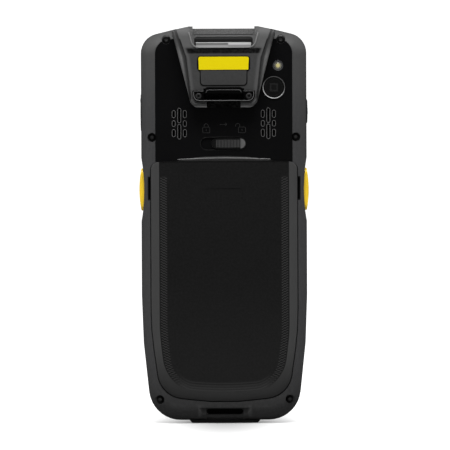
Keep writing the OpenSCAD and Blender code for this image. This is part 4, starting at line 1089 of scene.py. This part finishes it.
def ground():
    """A pale floor that keeps the shadow of the terminal and darkens it near the middle with a painted shadow.
    Far out the camera sees it as plain white.
    """
    finish = Finish("pale_floor")
    x, y, _ = finish.parts(finish.node("ShaderNodeTexCoord", output="Object"))
    # metres from the middle, in which the painted shadow is narrower across than it is deep
    narrowed = 4.4 * x
    away = (narrowed * narrowed + y * y).root()
    camera, glossy, through = finish.rays()
    seen = camera.most(through).most(0.05 * glossy)
    # Painted shadow: the camera sees less glow near the middle.
    glow = 0.06 + 0.85 * away.rise(0.0, 0.18)
    pale = finish.mix(glossy, (0.5, 0.5, 0.5, 1), (0.06, 0.06, 0.06, 1))
    matt = {"Base Color": pale, "Roughness": 0.9, "Specular IOR Level": 0.0}
    paint = finish.node("ShaderNodeBsdfPrincipled", {}, matt)
    light = finish.node("ShaderNodeEmission", {}, {"Color": (1, 1, 1, 1), "Strength": glow * seen})
    both = finish.node("ShaderNodeAddShader", {}, {0: paint, 1: light})
    finish.node("ShaderNodeOutputMaterial", {}, {"Surface": both})
    shape = bmesh.new()
    bmesh.ops.create_circle(shape, cap_ends=True, segments=96, radius=40)
    floor = shape_object("floor", shape)
    floor.data.materials.append(finish.material)


def surroundings():
    """A white studio, brightest overhead. In reflections it is bright overhead and at both sides and unlit in
    front and behind."""
    world = bpy.data.worlds.new("studio")
    world.use_nodes = True
    bpy.context.scene.world = world
    finish = Finish.of_tree(world.node_tree)
    x, _, z = finish.parts(finish.node("ShaderNodeTexCoord", output="Generated"))
    camera, glossy, through = finish.rays()
    mirrored = 0.04 + 0.85 * abs(x).rise(0.6, 0.9) + 0.06 * z.rise(0.6, 0.9)
    level = glossy * mirrored + (1 - glossy) * (0.28 + 0.3 * z.rise(0, 1))
    level = level + (1 - level) * camera.most(through)
    back = finish.node("ShaderNodeBackground", {}, {"Color": (1, 1, 1, 1), "Strength": level})
    finish.node("ShaderNodeOutputWorld", {}, {"Surface": back})


def lamp(name, at, target, size, power):
    data = bpy.data.lights.new(name, "AREA")
    data.shape, data.size, data.size_y, data.energy = "RECTANGLE", size[0], size[1], power
    made = placed(name, data)
    made.location = at
    made.rotation_euler = (Vector(target) - Vector(at)).to_track_quat("-Z", "Y").to_euler()


def camera():
    """A long lens from straight behind, a little above, whose view is so many metres wide at the terminal."""
    view_width = 0.1841
    data = bpy.data.cameras.new("view")
    data.lens, data.sensor_width, data.clip_start, data.clip_end = 800, 36, 0.01, 100
    target, raised, roll = Vector((0.31, -5, 81.13)) * MM, math.radians(2.2), math.radians(0.24)
    back = Vector((0, -math.cos(raised), math.sin(raised)))
    made = placed("view", data)
    made.location = target + back * (view_width * data.lens / data.sensor_width)
    made.rotation_euler = ((-back).to_track_quat("-Z", "Y") @ Quaternion((0, 0, 1), -roll)).to_euler()
    bpy.context.scene.camera = made


ground()
surroundings()
lamp("top_soft_box", (0, -0.42, 1.0), (0, 0, 0.12), (0.7, 0.4), 10.0)
lamp("left_strip", (-0.9, -0.35, 0.3), (0, 0, 0.08), (0.25, 0.9), 1.35)
lamp("right_strip", (0.9, -0.35, 0.3), (0, 0, 0.08), (0.25, 0.9), 0.45)
camera()
bpy.context.scene.view_settings.view_transform = "Standard"
